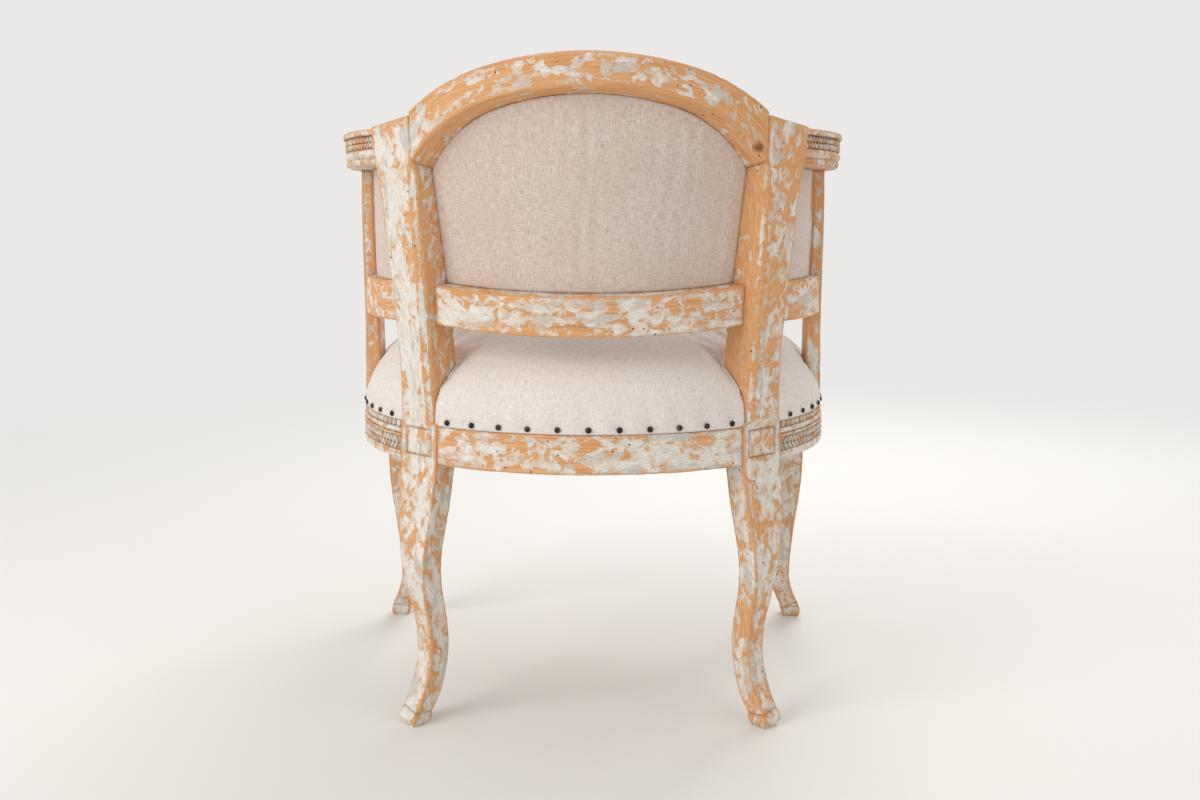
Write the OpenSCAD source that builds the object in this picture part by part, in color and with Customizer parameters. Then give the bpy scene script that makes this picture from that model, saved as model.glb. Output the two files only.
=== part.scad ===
// Barrel-back armchair with a stuffed-over seat, a painted and carved pine
// frame and linen covers. Millimetres, +Z up, front towards -Y.
// The plan is built round the centre of the round seat frame.

/* [Seat frame] */
// Outside radius of the round seat frame
seat_r = 312; // [250:1:380]
// Straight run of the side rails in front of the circle's centre
side_run = 146; // [110:1:180]
// Rise of the front rail's bow
front_bow = 24; // [10:1:40]
// Underside of the seat rails above the floor
rail_z = 309; // [255:1:375]
// Depth of the seat rails
rail_h = 66; // [60:1:80]
// Thickness of the seat rails
rail_t = 30; // [24:1:36]
// Height of the leaf carving on the side and front rails
leaf_h = 22; // [18:1:26]

/* [Legs and stiles] */
// Angle of the rear legs, round from straight back
post_az = 42; // [34:1:50]
// Width of a rear leg's block
block_w = 66; // [54:1:80]
// Thickness of a rear stile from back to front
stile_t = 46; // [38:1:56]
// Chamfer on the inner rear edge of a stile
chamfer = 8; // [4:1:12]
// Backward lean of the back
rake = 9; // [5:0.5:12]
// Outward splay of the stiles
splay = 3; // [1:0.5:5]
// Side of a front leg's square block
front_block = 45; // [38:1:54]

/* [Back] */
// Height of the top of the crest rail
back_h = 786; // [700:1:900]
// Height of the crest rail at its middle
crest_h = 39; // [30:1:50]
// Fall of the crest rail from its middle to the stiles
crest_fall = 80; // [72:1:88]
// Radius of the crest rail's rear face in plan
crest_r = 330; // [300:1:380]
// Thickness of the crest rail from back to front
crest_t = 47; // [40:1:54]
// Height of the lower back rail's underside, along the lean
back_rail_z = 154; // [148:1:190]
// Height of the lower back and side rails
low_rail_h = 48; // [36:1:56]
// Radius of the lower back rail's rear face
back_rail_r = 300; // [285:1:320]
// Thickness of the lower back and side rails
low_rail_t = 28; // [20:1:32]

/* [Arms] */
// Height of the top of the arms
arm_z = 711; // [690:1:740]
// Height of the arm moulding
arm_h = 44; // [34:1:54]
// Width of an arm seen from above
arm_w = 40; // [32:1:48]
// Outside radius of the arms
arm_r = 332; // [322:1:345]
// Distance of the arms' centre behind the seat's centre
arm_back = 39; // [25:1:50]
// How far round the arms reach, from straight back
arm_end = 104; // [98:1:110]
// Depth of an arm post from back to front
post_d = 40; // [30:1:46]

/* [Upholstery] */
// Rise of the stuffed seat above the rails
seat_rise = 97; // [75:1:115]
// Thickness of the linen covers
cover_t = 2; // [1.5:0.1:3]
// Thickness of the inside back padding
pad_t = 30; // [20:1:40]
// Width of a webbing band
web_w = 44; // [38:1:50]
// Diameter of a nail head
nail_d = 7; // [5:0.5:10]
// Spacing of the nails round the seat
nail_pitch = 36; // [24:1:48]

/* [Hidden] */

$fn = 96;
PAINT = "#D8D2C2";
BARE = "#C98A45";
LINEN = "#D3C5B8";
NAIL = "#2A2522";
gap = 0.3;         // soft goods stand this far off their neighbours
fit = 0.2;         // play of a tenon in its mortise
rebate = 5;        // the rails step in for the turned-down cover
big = 900;

rail_top = rail_z + rail_h;
cover_z = rail_top - 20;                  // lower edge of the seat cover
lean_z = cover_z + 6;                     // where the stiles start to lean
lean_x = tan(splay);
lean_y = tan(rake);

// the rear blocks: local x runs outward along the face, local y to the rear
t_dir = [cos(post_az), -sin(post_az)];
n_dir = [sin(post_az), cos(post_az)];
corner = n_dir * sqrt(pow(seat_r, 2) - pow(block_w / 2, 2)) - t_dir * block_w / 2;
lean_t = lean_x * cos(post_az) - lean_y * sin(post_az);
lean_n = lean_x * sin(post_az) + lean_y * cos(post_az);
neck_in = 5.6;                            // block shoulder inside the stile
stile_out = block_w - 15;                 // outer side of the stile's shaft
stile_top = back_h - crest_fall + 16;
stile_step = 10;                          // the stile's top falls outward
chamfer_stop = stile_top - 57;            // the chamfer stops under the crest rail

// the raked back: its rings turn about axes set behind or before the centre
crest_c = -10;
back_rail_c = -4;
crest_v = crest_r + crest_c;
crest_w = (back_h - lean_z + crest_v * sin(rake)) / cos(rake);
crest_front_r = crest_r - crest_t;
pad_lean = 5.58;                          // the padding stands this much further out at the top
sheet_inset = 21;                         // the linen lies this deep in the frame at the lower rail
sheet_lean = 29.6;                        // and stands this much further out at the top
back_rise = crest_w - back_rail_z - low_rail_h;
function pad_at(w) =
    back_rail_r - low_rail_t - gap + pad_lean / back_rise * (w - back_rail_z - low_rail_h);
function sheet_at(w) =
    back_rail_r - sheet_inset + sheet_lean / back_rise * (w - back_rail_z - low_rail_h);

// the sides
side_c = 8;
side_rail_r = seat_r - 4;
side_rail_z = lean_z + 116;
panel_c = 20;
panel_r = seat_r - 12;
arm_under = arm_z - arm_h;
post_y = 70;                              // rear face of the arm posts
post_out = seat_r - 9;
arm_mid = arm_r - arm_w / 2;

// the front
front_x = seat_r - front_block;
front_y = -side_run - front_block;
front_r = (pow(front_x, 2) + pow(front_bow, 2)) / (2 * front_bow);
front_c = front_y - front_bow + front_r;

// the whole chair is drawn with its box centred over the origin
front_most = front_y - front_bow;
rear_most = crest_v * cos(rake) + crest_w * sin(rake);
y_shift = -(front_most + rear_most) / 2;

// ------------------------------------------------------------ curve helpers

// Row of a table at x, with a smooth curve through the rows
function row_at(tab, x, i = 0) =
    i >= len(tab) - 2 || x <= tab[i + 1][0] ? i : row_at(tab, x, i + 1);
function tangent(tab, i) =
    let(a = max(i - 1, 0), b = min(i + 1, len(tab) - 1))
    (tab[b] - tab[a]) / (tab[b][0] - tab[a][0]);
function smooth(tab, x) =
    let(i = row_at(tab, x), a = tab[i], b = tab[i + 1], h = b[0] - a[0],
        u = (x - a[0]) / h)
    (2*u*u*u - 3*u*u + 1) * a + (u*u*u - 2*u*u + u) * h * tangent(tab, i)
    + (3*u*u - 2*u*u*u) * b + (u*u*u - u*u) * h * tangent(tab, i + 1);

// Fall of a two-arc arch at x: radius r1 out to x1, then r2 to the shoulder
function arch_fall(x, r1, x1, r2) =
    let(q = abs(x), a = asin(x1 / r1))
    q <= x1 ? r1 - sqrt(r1 * r1 - q * q)
    : r1 * (1 - cos(a)) + r2 * cos(a) - sqrt(r2 * r2 - pow(q - x1 + r2 * sin(a), 2));

// A closed skin over a stack of rings that turn anticlockwise seen from above
module loft(rings) {
    n = len(rings[0]);
    m = len(rings);
    polyhedron(
        points = [for (r = rings) each r],
        faces = concat(
            [[for (i = [0 : n - 1]) i]],
            [for (j = [0 : m - 2]) for (i = [0 : n - 1])
                let(a = j * n + i, b = j * n + (i + 1) % n)
                each [[a, a + n, b + n], [a, b + n, b]]],
            [[for (i = [n - 1 : -1 : 0]) (m - 1) * n + i]]));
}

// ------------------------------------------------------------------- places

module place() { translate([0, y_shift, 0]) children(); }
module side(s) { mirror([s < 0 ? 1 : 0, 0, 0]) children(); }
module at_block() { translate([corner.x, corner.y, 0]) rotate([0, 0, -post_az]) children(); }
module leaned() { translate([0, 0, lean_z]) rotate([-rake, 0, 0]) children(); }
module before(y) { translate([-big, y - 2 * big, -big]) cube(2 * big); }
module right_of(x) { translate([x, -big, -big]) cube(2 * big); }

// A box between two corners, made larger all round by grow
module box(a, b, grow = 0) {
    translate(a - [grow, grow, grow]) cube(b - a + 2 * [grow, grow, grow]);
}

// ------------------------------------------------- rear legs and stiles

// Sabre leg under the block: height share, inner edge, rear face, width, depth
LEG = [[0.00, 11, 24, 26, 26], [0.04, 10.5, 23.5, 28, 28], [0.11, 10.5, 10, 28, 28],
    [0.23, 11, -2, 27, 27], [0.36, 10.5, -0.5, 28, 28], [0.52, 8.5, 11.5, 33, 29],
    [0.66, 1, 17, 46, 28.5], [0.84, 0, 7, 62, 30], [1.00, 0, 0, 66, 31]];
// Outer side of the stile beyond its shaft: height share, extra width
FLARE = [[0.00, 11], [0.16, 3], [0.28, 0], [0.79, 0], [0.88, 3.5], [1.00, 0.5]];

function stile_in(z) = neck_in + lean_t * (z - lean_z);
function stile_back(z) = 2 + lean_n * (z - lean_z);
function stile_side(z) =
    stile_out + smooth(FLARE, (z - lean_z) / (stile_top - lean_z))[1];

// Five-cornered section: inner front, outer front, outer rear, chamfered inner rear
function section(x0, x1, y0, y1, c, z, fall = 0, g = 0) =
    [[x0 - g, y0 - g, z + g], [x1 + g, y0 - g, z - fall + g], [x1 + g, y1 + g, z - fall + g],
     [x0 + c - g, y1 + g, z - fall * c / (x1 - x0) + g], [x0 - g, y1 - c + g, z + g]];
function leg_ring(u) =
    let(q = smooth(LEG, u), w = q[3] + (block_w - 66) * u)
    section(q[1], q[1] + w, q[2] - q[4], q[2], 1, rail_z * u);
function block_ring(z, g = 0) =
    section(0, block_w, -stile_t, 0, 1, z - g, 0, g);
function stile_ring(z, fall = 0, g = 0) =
    section(stile_in(z), stile_side(z), stile_back(z) - stile_t, stile_back(z),
        z < chamfer_stop ? chamfer : 1, z - g, fall, g);

leg_steps = 22;
stile_steps = 16;
function stile_z(k) = lean_z + (stile_top - lean_z) * k / stile_steps;
stile_rings = concat(
    [for (k = [0 : leg_steps]) leg_ring(k / leg_steps)],
    [block_ring(rail_z + 0.5), block_ring(cover_z + 2)],
    [for (k = [0 : stile_steps]) stile_ring(stile_z(k), k == stile_steps ? stile_step : 0)]);

// The space that the stile takes above the seat rails, with room round it
module stile_space(g) {
    at_block() loft(concat(
        [block_ring(rail_z - 40, g), block_ring(cover_z + 2 + g, g)],
        [for (k = [0 : stile_steps]) stile_ring(stile_z(k), k == stile_steps ? stile_step : 0, g)],
        [[for (p = stile_ring(stile_top, stile_step, g)) p + [40 * lean_t, 40 * lean_n, 40]]]));
}

// Tenons of the two seat rails and of the crest, arm and lower rails, in the
// block's own directions
tenon_l = 24;
function tenon_box(x, y, z, w, h) = [[x, y, z], [x + w, y + 11, z + h]];
T_BACK = tenon_box(-4, -30, rail_z + 10, tenon_l, rail_h - 20);
T_SIDE = tenon_box(block_w - tenon_l + 4, -30, rail_z + 10, tenon_l, rail_h - 20);
T_LOW = tenon_box(stile_in(side_rail_z + 20) - 8, stile_back(side_rail_z) - 38,
    side_rail_z + 10, 28, low_rail_h - 26);
T_SLOW = tenon_box(stile_out - 20, stile_back(side_rail_z) - 38,
    side_rail_z + 12, 28, low_rail_h - 22);
T_CREST = tenon_box(stile_in(arm_z) - 10, stile_back(arm_z) - 36,
    arm_under + 14, 28, arm_h - 20);
T_ARM = tenon_box(stile_out - 18, stile_back(arm_z) - 36,
    arm_under + 10, 28, arm_h - 20);

module tenon(b, grow = 0) { at_block() box(b[0], b[1], grow); }

// Sunk line round the panel on the block's rear face
module block_panel() {
    inset = 8;
    line_w = 4;
    at_block() difference() {
        box([inset, -1.5, rail_z + 7], [block_w - inset, 4, cover_z - 3]);
        box([inset + line_w, -4, rail_z + 7 + line_w],
            [block_w - inset - line_w, 6, cover_z - 3 - line_w]);
    }
}

module rear_stile() {
    difference() {
        at_block() loft(stile_rings);
        block_panel();
        for (b = [T_BACK, T_SIDE, T_LOW, T_SLOW, T_CREST, T_ARM]) tenon(b, fit);
    }
}
module rear_stile_left() { color(PAINT) place() rear_stile(); }
module rear_stile_right() { color(PAINT) place() side(-1) rear_stile(); }

// ---------------------------------------------------------------- crest rail

// Half angle to which the crest is drawn before the stiles trim its ends
crest_half = 44;
crest_steps = 34;
top_arc = [380, 120, 235];
soffit_arc = [380, 100, 180];
ease = 3;                                 // eased long edges
level = crest_t * tan(rake);              // the top is planed level from back to front

function crest_ring(a) =
    let(x = crest_r * sin(a), b = crest_front_r,
        top = crest_w - arch_fall(x, top_arc[0], top_arc[1], top_arc[2]) * crest_fall / 80,
        low = crest_w - crest_h
            - arch_fall(min(abs(x), 214), soffit_arc[0], soffit_arc[1], soffit_arc[2]) * crest_fall / 80,
        front = low - 17 - 5 * min(1, abs(x) / 120),
        q = [[b, front + ease], [b + ease, front], [crest_r - 12, low - 6.5], [crest_r, low],
             [crest_r, top - ease], [crest_r - ease, top], [b + ease, top - level], [b, top - level - ease]])
    [for (p = q) [p[0] * sin(a), p[0] * cos(a) + crest_c, p[1]]];

module crest_blank() {
    loft([for (k = [-crest_steps : crest_steps]) crest_ring(crest_half * k / crest_steps)]);
}

module crest_rail() {
    color(PAINT) place() {
        difference() {
            leaned() crest_blank();
            for (s = [1, -1]) side(s) {
                stile_space(0);
                at_block() box([stile_in(stile_top - 55), -200, 0], [200, 200, big]);
            }
        }
        for (s = [1, -1]) side(s) tenon(T_CREST);
    }
}

// ----------------------------------------------------- lower rails of the back

// Ring sector of a moulding: profile points turned about a centre on the axis
module bent(points, c, from, to) {
    translate([0, c, 0]) rotate_extrude(start = 90 - to, angle = to - from)
        polygon(points);
}
function bar(r, t, z0, z1, e = 2) =
    [[r - t, z0], [r - e, z0], [r, z0 + e], [r, z1 - e], [r - e, z1], [r - t, z1]];

module back_lower_rail() {
    color(PAINT) place() {
        difference() {
            leaned() bent(bar(back_rail_r, low_rail_t, back_rail_z, back_rail_z + low_rail_h),
                back_rail_c, -46, 46);
            for (s = [1, -1]) side(s) stile_space(0);
            for (s = [1, -1]) side(s) at_block()
                box([stile_in(lean_z), -200, 0], [200, 200, big]);
        }
        for (s = [1, -1]) side(s) tenon(T_LOW);
    }
}

module side_lower_rail() {
    difference() {
        bent(bar(side_rail_r, low_rail_t - 4, side_rail_z, side_rail_z + low_rail_h + 2),
            side_c, 40, 85);
        stile_space(0);
        at_block() box([-300, -200, 0], [stile_out - stile_t / 2, 200, big]);
        before(post_y);
    }
    tenon(T_SLOW);
}
module side_lower_rail_left() { color(PAINT) place() side_lower_rail(); }
module side_lower_rail_right() { color(PAINT) place() side(-1) side_lower_rail(); }

// ---------------------------------------------------------- arms and posts

// Arm moulding from its flat underside: bead, torus, carved band, top fillet
function arm_outline(r) =
    [[r - 5, arm_under], [r - 4.4, arm_under + 5], [r - 5, arm_under + 10],
     [r - 3, arm_under + 10.5], [r - 2, arm_under + 15], [r - 3, arm_under + 19.5],
     [r - 4, arm_under + 20], [r - 1, arm_z - 7], [r, arm_z - 7], [r, arm_z - 1],
     [r - 1, arm_z]];
module arm_profile(r, back) {
    polygon(concat([[back, arm_z], [back, arm_under]], arm_outline(r)));
}

knob = 1.5;                               // the arm's round end stands this proud

// The arm post: a rectangle that narrows and stands out towards the arm
POST = [[0.00, 21, 0], [0.35, 19, 1], [0.75, 16, 5], [1.00, 16, 6]];
function post_ring(u, g = 0) =
    let(q = smooth(POST, u), x = post_out + q[2], z = rail_top + (arm_under - rail_top) * u)
    [[x - q[1] - g, post_y - post_d - g, z], [x + g, post_y - post_d - g, z],
     [x + g, post_y + g, z], [x - q[1] - g, post_y + g, z]];
post_steps = 8;
module post_body(g = 0) { loft([for (k = [0 : post_steps]) post_ring(k / post_steps, g)]); }
post_foot = [[post_out - 15, post_y - 28, rail_top - 20], [post_out - 5, post_y - 12, rail_top + 8]];
post_head = [[post_out - 5, post_y - 28, arm_under - 8], [post_out + 3, post_y - 12, arm_under + 20]];

module arm_post() {
    post_body();
    box(post_foot[0], post_foot[1]);
    box(post_head[0], post_head[1]);
}
module arm_post_left() { color(PAINT) place() arm_post(); }
module arm_post_right() { color(PAINT) place() side(-1) arm_post(); }

module arm() {
    difference() {
        union() {
            difference() {
                translate([0, arm_back, 0])
                    rotate_extrude(start = 90 - arm_end, angle = arm_end - 40)
                    arm_profile(arm_r, arm_r - arm_w);
                stile_space(0);
                at_block() box([-300, -300, 0], [stile_out - stile_t / 2, 300, big]);
            }
            translate([arm_mid * sin(arm_end), arm_back + arm_mid * cos(arm_end), 0])
                rotate_extrude() arm_profile(arm_w / 2 + knob, 0);
        }
        box(post_head[0], post_head[1], fit);
    }
    tenon(T_ARM);
}
module arm_left() { color(PAINT) place() arm(); }
module arm_right() { color(PAINT) place() side(-1) arm(); }

// -------------------------------------------------------------- seat rails

// Carved rail: base fillet, leaf band, round moulding, dentils, cover rebate
function rail_outline(r) =
    [[r - 1.5, rail_z], [r - 1.5, rail_z + 6], [r, rail_z + 8], [r, rail_z + 6 + leaf_h],
     [r - 2, rail_z + 8 + leaf_h], [r - 1, rail_z + 12 + leaf_h], [r - 2, rail_z + 16 + leaf_h],
     [r - 3, cover_z], [r - rebate, cover_z], [r - rebate, rail_top - 3],
     [r - rebate - 3, rail_top]];
module rail_profile(r) {
    polygon(concat([[r - rail_t, rail_top], [r - rail_t, rail_z]], rail_outline(r)));
}

module seat_rail_back() {
    r = seat_r - 2;
    color(PAINT) place() {
        difference() {
            bent([[r - rail_t, rail_top], [r - rail_t, rail_z], [r, rail_z], [r, cover_z],
                [r - 3, cover_z], [r - 3, rail_top - 3], [r - 6, rail_top]], 0, -42, 42);
            for (s = [1, -1]) side(s) at_block() box([0, -200, 0], [200, 200, big]);
        }
        for (s = [1, -1]) side(s) tenon(T_BACK);
    }
}

// Tenons of the side and front rails in the front leg's block
front_tz = [rail_z + 12, rail_top - 14];
side_tenon = [[seat_r - 21, -side_run - 20, front_tz[0]], [seat_r - 11, -side_run + 4, front_tz[1]]];
front_tenon = [[front_x - 4, front_y + 6, front_tz[0]], [front_x + 18, front_y + 15, front_tz[1]]];

module seat_rail() {
    difference() {
        union() {
            bent(concat([[seat_r - rail_t, rail_top], [seat_r - rail_t, rail_z]],
                rail_outline(seat_r)), 0, 40, 90);
            rotate([90, 0, 0]) linear_extrude(side_run) rail_profile(seat_r);
        }
        at_block() box([-300, -200, 0], [block_w, 200, big]);
        box(post_foot[0], post_foot[1], fit);
    }
    tenon(T_SIDE);
    box(side_tenon[0], side_tenon[1]);
}
module seat_rail_left() { color(PAINT) place() seat_rail(); }
module seat_rail_right() { color(PAINT) place() side(-1) seat_rail(); }

module seat_rail_front() {
    half = asin(front_x / front_r) + 1;
    color(PAINT) place() {
        difference() {
            translate([0, front_c, 0])
                rotate_extrude(start = 270 - half, angle = 2 * half, $fn = 720)
                rail_profile(front_r);
            for (s = [1, -1]) side(s) right_of(front_x);
        }
        for (s = [1, -1]) side(s) box(front_tenon[0], front_tenon[1]);
    }
}

// ------------------------------------------------------------- front legs

// Curved leg under the block: height share, throw along the diagonal, side
FRONT = [[0.00, 8.5, 27], [0.05, 6, 28], [0.11, -6.4, 28], [0.21, -17.8, 27.4],
    [0.40, -12.3, 30], [0.65, 0.3, 38], [0.81, 0.5, 44], [1.00, 0, 45]];
front_steps = 22;
function front_ring(u) =
    let(q = smooth(FRONT, u), h = (q[2] + (front_block - 45) * u) / 2, d = q[1] / sqrt(2),
        cx = seat_r - front_block / 2 + d, cy = front_y + front_block / 2 - d, z = rail_z * u)
    [[cx - h, cy - h, z], [cx + h, cy - h, z], [cx + h, cy + h, z], [cx - h, cy + h, z]];

module front_leg() {
    difference() {
        union() {
            loft([for (k = [0 : front_steps]) front_ring(k / front_steps)]);
            box([front_x, front_y, rail_z - 1], [seat_r, -side_run, cover_z]);
            box([front_x, front_y + rebate, cover_z - 1], [seat_r - rebate, -side_run, rail_top]);
        }
        box(side_tenon[0], side_tenon[1], fit);
        box(front_tenon[0], front_tenon[1], fit);
    }
}
module front_leg_left() { color(PAINT) place() front_leg(); }
module front_leg_right() { color(PAINT) place() side(-1) front_leg(); }

// ----------------------------------------------------------- corner blocks

brace_h = 40;                             // height of the corner blocks
brace_z = rail_top - brace_h - 6;

// Rear block: bent to the rails' inner faces and notched round the stile
module rear_brace() {
    r = seat_r - rail_t - 2 - gap;
    difference() {
        bent([[r - 26, brace_z], [r, brace_z], [r, brace_z + brace_h], [r - 26, brace_z + brace_h]],
            0, post_az - 15, post_az + 15);
        at_block() box([-gap, -stile_t - gap, 0], [block_w + gap, 100, big]);
    }
}
module corner_block_rear_left() { color(BARE) place() rear_brace(); }
module corner_block_rear_right() { color(BARE) place() side(-1) rear_brace(); }

// Front block: a triangle across the corner, notched round the leg
module front_brace() {
    x = seat_r - rail_t - gap;
    leg = 70;
    difference() {
        translate([0, 0, brace_z]) linear_extrude(brace_h)
            polygon([[x, front_y + leg + rail_t], [x - leg, front_y], [x, front_y]]);
        box([front_x - gap, front_y - 1, 0], [seat_r, -side_run + gap, big]);
        translate([0, front_c, 0]) rotate_extrude($fn = 720)
            polygon([[front_r - rail_t - gap, 0], [front_r + 100, 0],
                [front_r + 100, big], [front_r - rail_t - gap, big]]);
    }
}
module corner_block_front_left() { color(BARE) place() front_brace(); }
module corner_block_front_right() { color(BARE) place() side(-1) front_brace(); }

// -------------------------------------------------------- webbing and hessian

web_t = 1.8;
across_z = rail_top;
along_z = across_z + web_t + gap;
hessian_z = along_z + web_t + gap;
stuffing_z = hessian_z + 1.2 + gap;
web_end = 14;                             // the bands stop this far inside the frame
ACROSS = [-120, -60, 2, post_y + 6 + web_w / 2, post_y + 10 + 1.5 * web_w];
ALONG = [-120, -40, 40, 120];

module across(k) {
    y = ACROSS[k];
    reach = sqrt(pow(seat_r - web_end, 2) - pow(max(0, y + web_w / 2), 2));
    color("#B79A6A") place()
        box([-reach, y - web_w / 2, across_z], [reach, y + web_w / 2, across_z + web_t]);
}
module along(k) {
    x = ALONG[k];
    reach = sqrt(pow(seat_r - web_end, 2) - pow(abs(x) + web_w / 2, 2));
    color("#B79A6A") place()
        box([x - web_w / 2, front_y + web_end, along_z], [x + web_w / 2, reach, along_z + web_t]);
}
module webbing_across_1() { across(0); }
module webbing_across_2() { across(1); }
module webbing_across_3() { across(2); }
module webbing_across_4() { across(3); }
module webbing_across_5() { across(4); }
module webbing_along_1() { along(0); }
module webbing_along_2() { along(1); }
module webbing_along_3() { along(2); }
module webbing_along_4() { along(3); }

// Plan of the seat, g inside the frame's outer line, from the left side round
// the back to the right side and along the bowed front
function plan(g, arc = 48, bow = 6, nip = 0.4) = concat(
    [[seat_r - g, front_y + g + nip]],
    [for (k = [0 : arc]) let(a = 180 * k / arc) (seat_r - g) * [cos(a), sin(a)]],
    [[-seat_r + g, front_y + g + nip]],
    [for (k = [-bow : bow]) let(x = (seat_r - g - nip) * k / bow)
        [x, g + front_y - front_bow * max(0, 1 - pow(x / front_x, 2))]]);
seat_mid = [0, -20];

module uprights(g) {
    for (s = [1, -1]) side(s) {
        stile_space(g);
        box([post_out - 21 - g, post_y - post_d - g, rail_top - 4], [post_out + 4 + g, post_y + g, arm_under]);
    }
}

module seat_hessian() {
    color("#A88A5C") place() difference() {
        translate([0, 0, hessian_z]) linear_extrude(1.2) polygon(plan(12));
        uprights(gap);
    }
}

// ---------------------------------------------------------- seat upholstery

// Dome over the plan: a steep roll at the edge, then a gentle crown
roll = 4.5;
dome_steps = 9;
dome_z = rail_top - 2;
function dome_ring(g, q) =
    let(rho = 1 - pow(1 - q, 2.2), z = dome_z + (seat_rise - g) * sqrt(1 - pow(rho, roll)))
    [for (p = plan(rebate - gap - cover_t + g))
        let(d = seat_mid + (p - seat_mid) * rho) [d.x, d.y, z]];
function flat_ring(g, z) =
    [for (p = plan(rebate - gap - cover_t + g)) [p.x, p.y, z]];

module dome(g, z) {
    loft(concat([flat_ring(g, z)], [for (k = [0 : dome_steps - 1]) dome_ring(g, 1 - k / dome_steps)]));
}

module seat_stuffing() {
    color("#8B7355") place() difference() {
        dome(cover_t + gap, cover_z);
        box([-big, -big, -big], [big, big, stuffing_z]);
        uprights(gap);
    }
}

module seat_cover() {
    color(LINEN) place() difference() {
        dome(0, cover_z + 0.5);
        dome(cover_t, cover_z - 1);
        uprights(gap);
    }
}

// Domed nail heads in a line round the frame, on the cover's turned-down edge
module nail() {
    rotate([0, 90, 0]) intersection() {
        translate([0, 0, -nail_d * 0.28]) sphere(d = nail_d * 1.15, $fn = 24);
        cylinder(d = nail_d, h = nail_d, $fn = 24);
    }
}
nail_z = cover_z + 6;
face_r = seat_r - rebate + 2 * gap + cover_t;
nail_step = nail_pitch / seat_r * 180 / PI;
module seat_nails() {
    rear_half = floor((post_az - 8) / nail_step);
    side_first = ceil((post_az + 9) / nail_step);
    color(NAIL) place() {
        for (k = [-rear_half : rear_half])
            rotate([0, 0, 90 + k * nail_step]) translate([face_r, 0, nail_z]) nail();
        for (s = [1, -1]) side(s) {
            for (k = [side_first : floor(90 / nail_step)])
                rotate([0, 0, 90 - k * nail_step]) translate([face_r, 0, nail_z]) nail();
            for (y = [nail_pitch / 2 : nail_pitch : side_run + front_block - 12])
                translate([face_r, -y, nail_z]) nail();
        }
        for (x = [-front_x + 8 : nail_pitch : front_x])
            translate([x, front_y + seat_r - face_r - front_bow * (1 - pow(x / front_x, 2)), nail_z])
                rotate([0, 0, -90]) nail();
    }
}

// ---------------------------------------------------------- back upholstery

// Outline of the inside back seen square on, grown by g over the frame
function back_outline(g) = concat(
    [[-172 - g, back_rail_z + 22 - g], [172 + g, back_rail_z + 22 - g]],
    [for (k = [10 : -1 : -10])
        let(x = (180 + g) * k / 10)
        [x, crest_w - crest_h - 16 + g
            - arch_fall(x, soffit_arc[0], soffit_arc[1], soffit_arc[2] + 20) * crest_fall / 80]]);
module back_window(g) {
    rotate([90, 0, 180]) linear_extrude(2 * big, center = true) polygon(back_outline(g));
}
module half_back() { translate([0, big, 0]) cube(2 * big, center = true); }

// Outer linen of the back, set in the opening of the frame
module back_outer_cover() {
    w0 = back_rail_z + low_rail_h + gap;
    w1 = crest_w;
    r0 = sheet_at(w0);
    r1 = sheet_at(w1);
    color(LINEN) place() difference() {
        leaned() difference() {
            intersection() {
                bent([[r0 - cover_t, w0], [r0, w0], [r1, w1], [r1 - cover_t, w1]], back_rail_c, -44, 44);
                back_window(24);
                half_back();
            }
            translate([0, 0, -gap]) crest_blank();
        }
        for (s = [1, -1]) side(s) {
            stile_space(gap);
            at_block() box([stile_in(lean_z), -200, 0], [200, 200, big]);
        }
    }
}

module back_pad() {
    w0 = back_rail_z;
    w1 = crest_w;
    r0 = pad_at(w0);
    r1 = pad_at(w1);
    color(LINEN) place() leaned() intersection() {
        bent([[r0 - pad_t, w0], [r0, w0], [r1, w1], [r1 - pad_t, w1]], back_rail_c, -44, 44);
        back_window(8);
        half_back();
    }
}

// Outer linen and padding under each arm, between the stile and the post
side_low = side_rail_z + low_rail_h + 2 + gap;
module side_sheet(r, t) {
    out = 8;  // the sheet leans out towards the arm
    difference() {
        bent([[r - t, side_low], [r, side_low], [r + out, arm_under - gap],
            [r + out - t, arm_under - gap]], panel_c, 38, 90);
        stile_space(gap);
        at_block() box([-300, -300, 0], [stile_out - stile_t / 2, 300, big]);
        box([post_out - 21, post_y - post_d - gap, 0], [post_out + 40, post_y + gap, big]);
        before(post_y + gap);
    }
}
module side_outer_cover_left() { color(LINEN) place() side_sheet(panel_r, cover_t); }
module side_outer_cover_right() {
    color(LINEN) place() side(-1) side_sheet(panel_r, cover_t);
}
module side_pad_left() {
    color(LINEN) place() side_sheet(panel_r - cover_t - gap, pad_t);
}
module side_pad_right() {
    color(LINEN) place() side(-1) side_sheet(panel_r - cover_t - gap, pad_t);
}

rear_stile_left();
rear_stile_right();
crest_rail();
back_lower_rail();
side_lower_rail_left();
side_lower_rail_right();
arm_left();
arm_right();
arm_post_left();
arm_post_right();
seat_rail_back();
seat_rail_left();
seat_rail_right();
seat_rail_front();
front_leg_left();
front_leg_right();
corner_block_rear_left();
corner_block_rear_right();
corner_block_front_left();
corner_block_front_right();
webbing_across_1();
webbing_across_2();
webbing_across_3();
webbing_across_4();
webbing_across_5();
webbing_along_1();
webbing_along_2();
webbing_along_3();
webbing_along_4();
seat_hessian();
seat_stuffing();
seat_cover();
seat_nails();
back_outer_cover();
back_pad();
side_outer_cover_left();
side_outer_cover_right();
side_pad_left();
side_pad_right();
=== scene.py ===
import contextlib
import math

import bmesh
import bpy
import numpy as np
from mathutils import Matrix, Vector, noise


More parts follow.
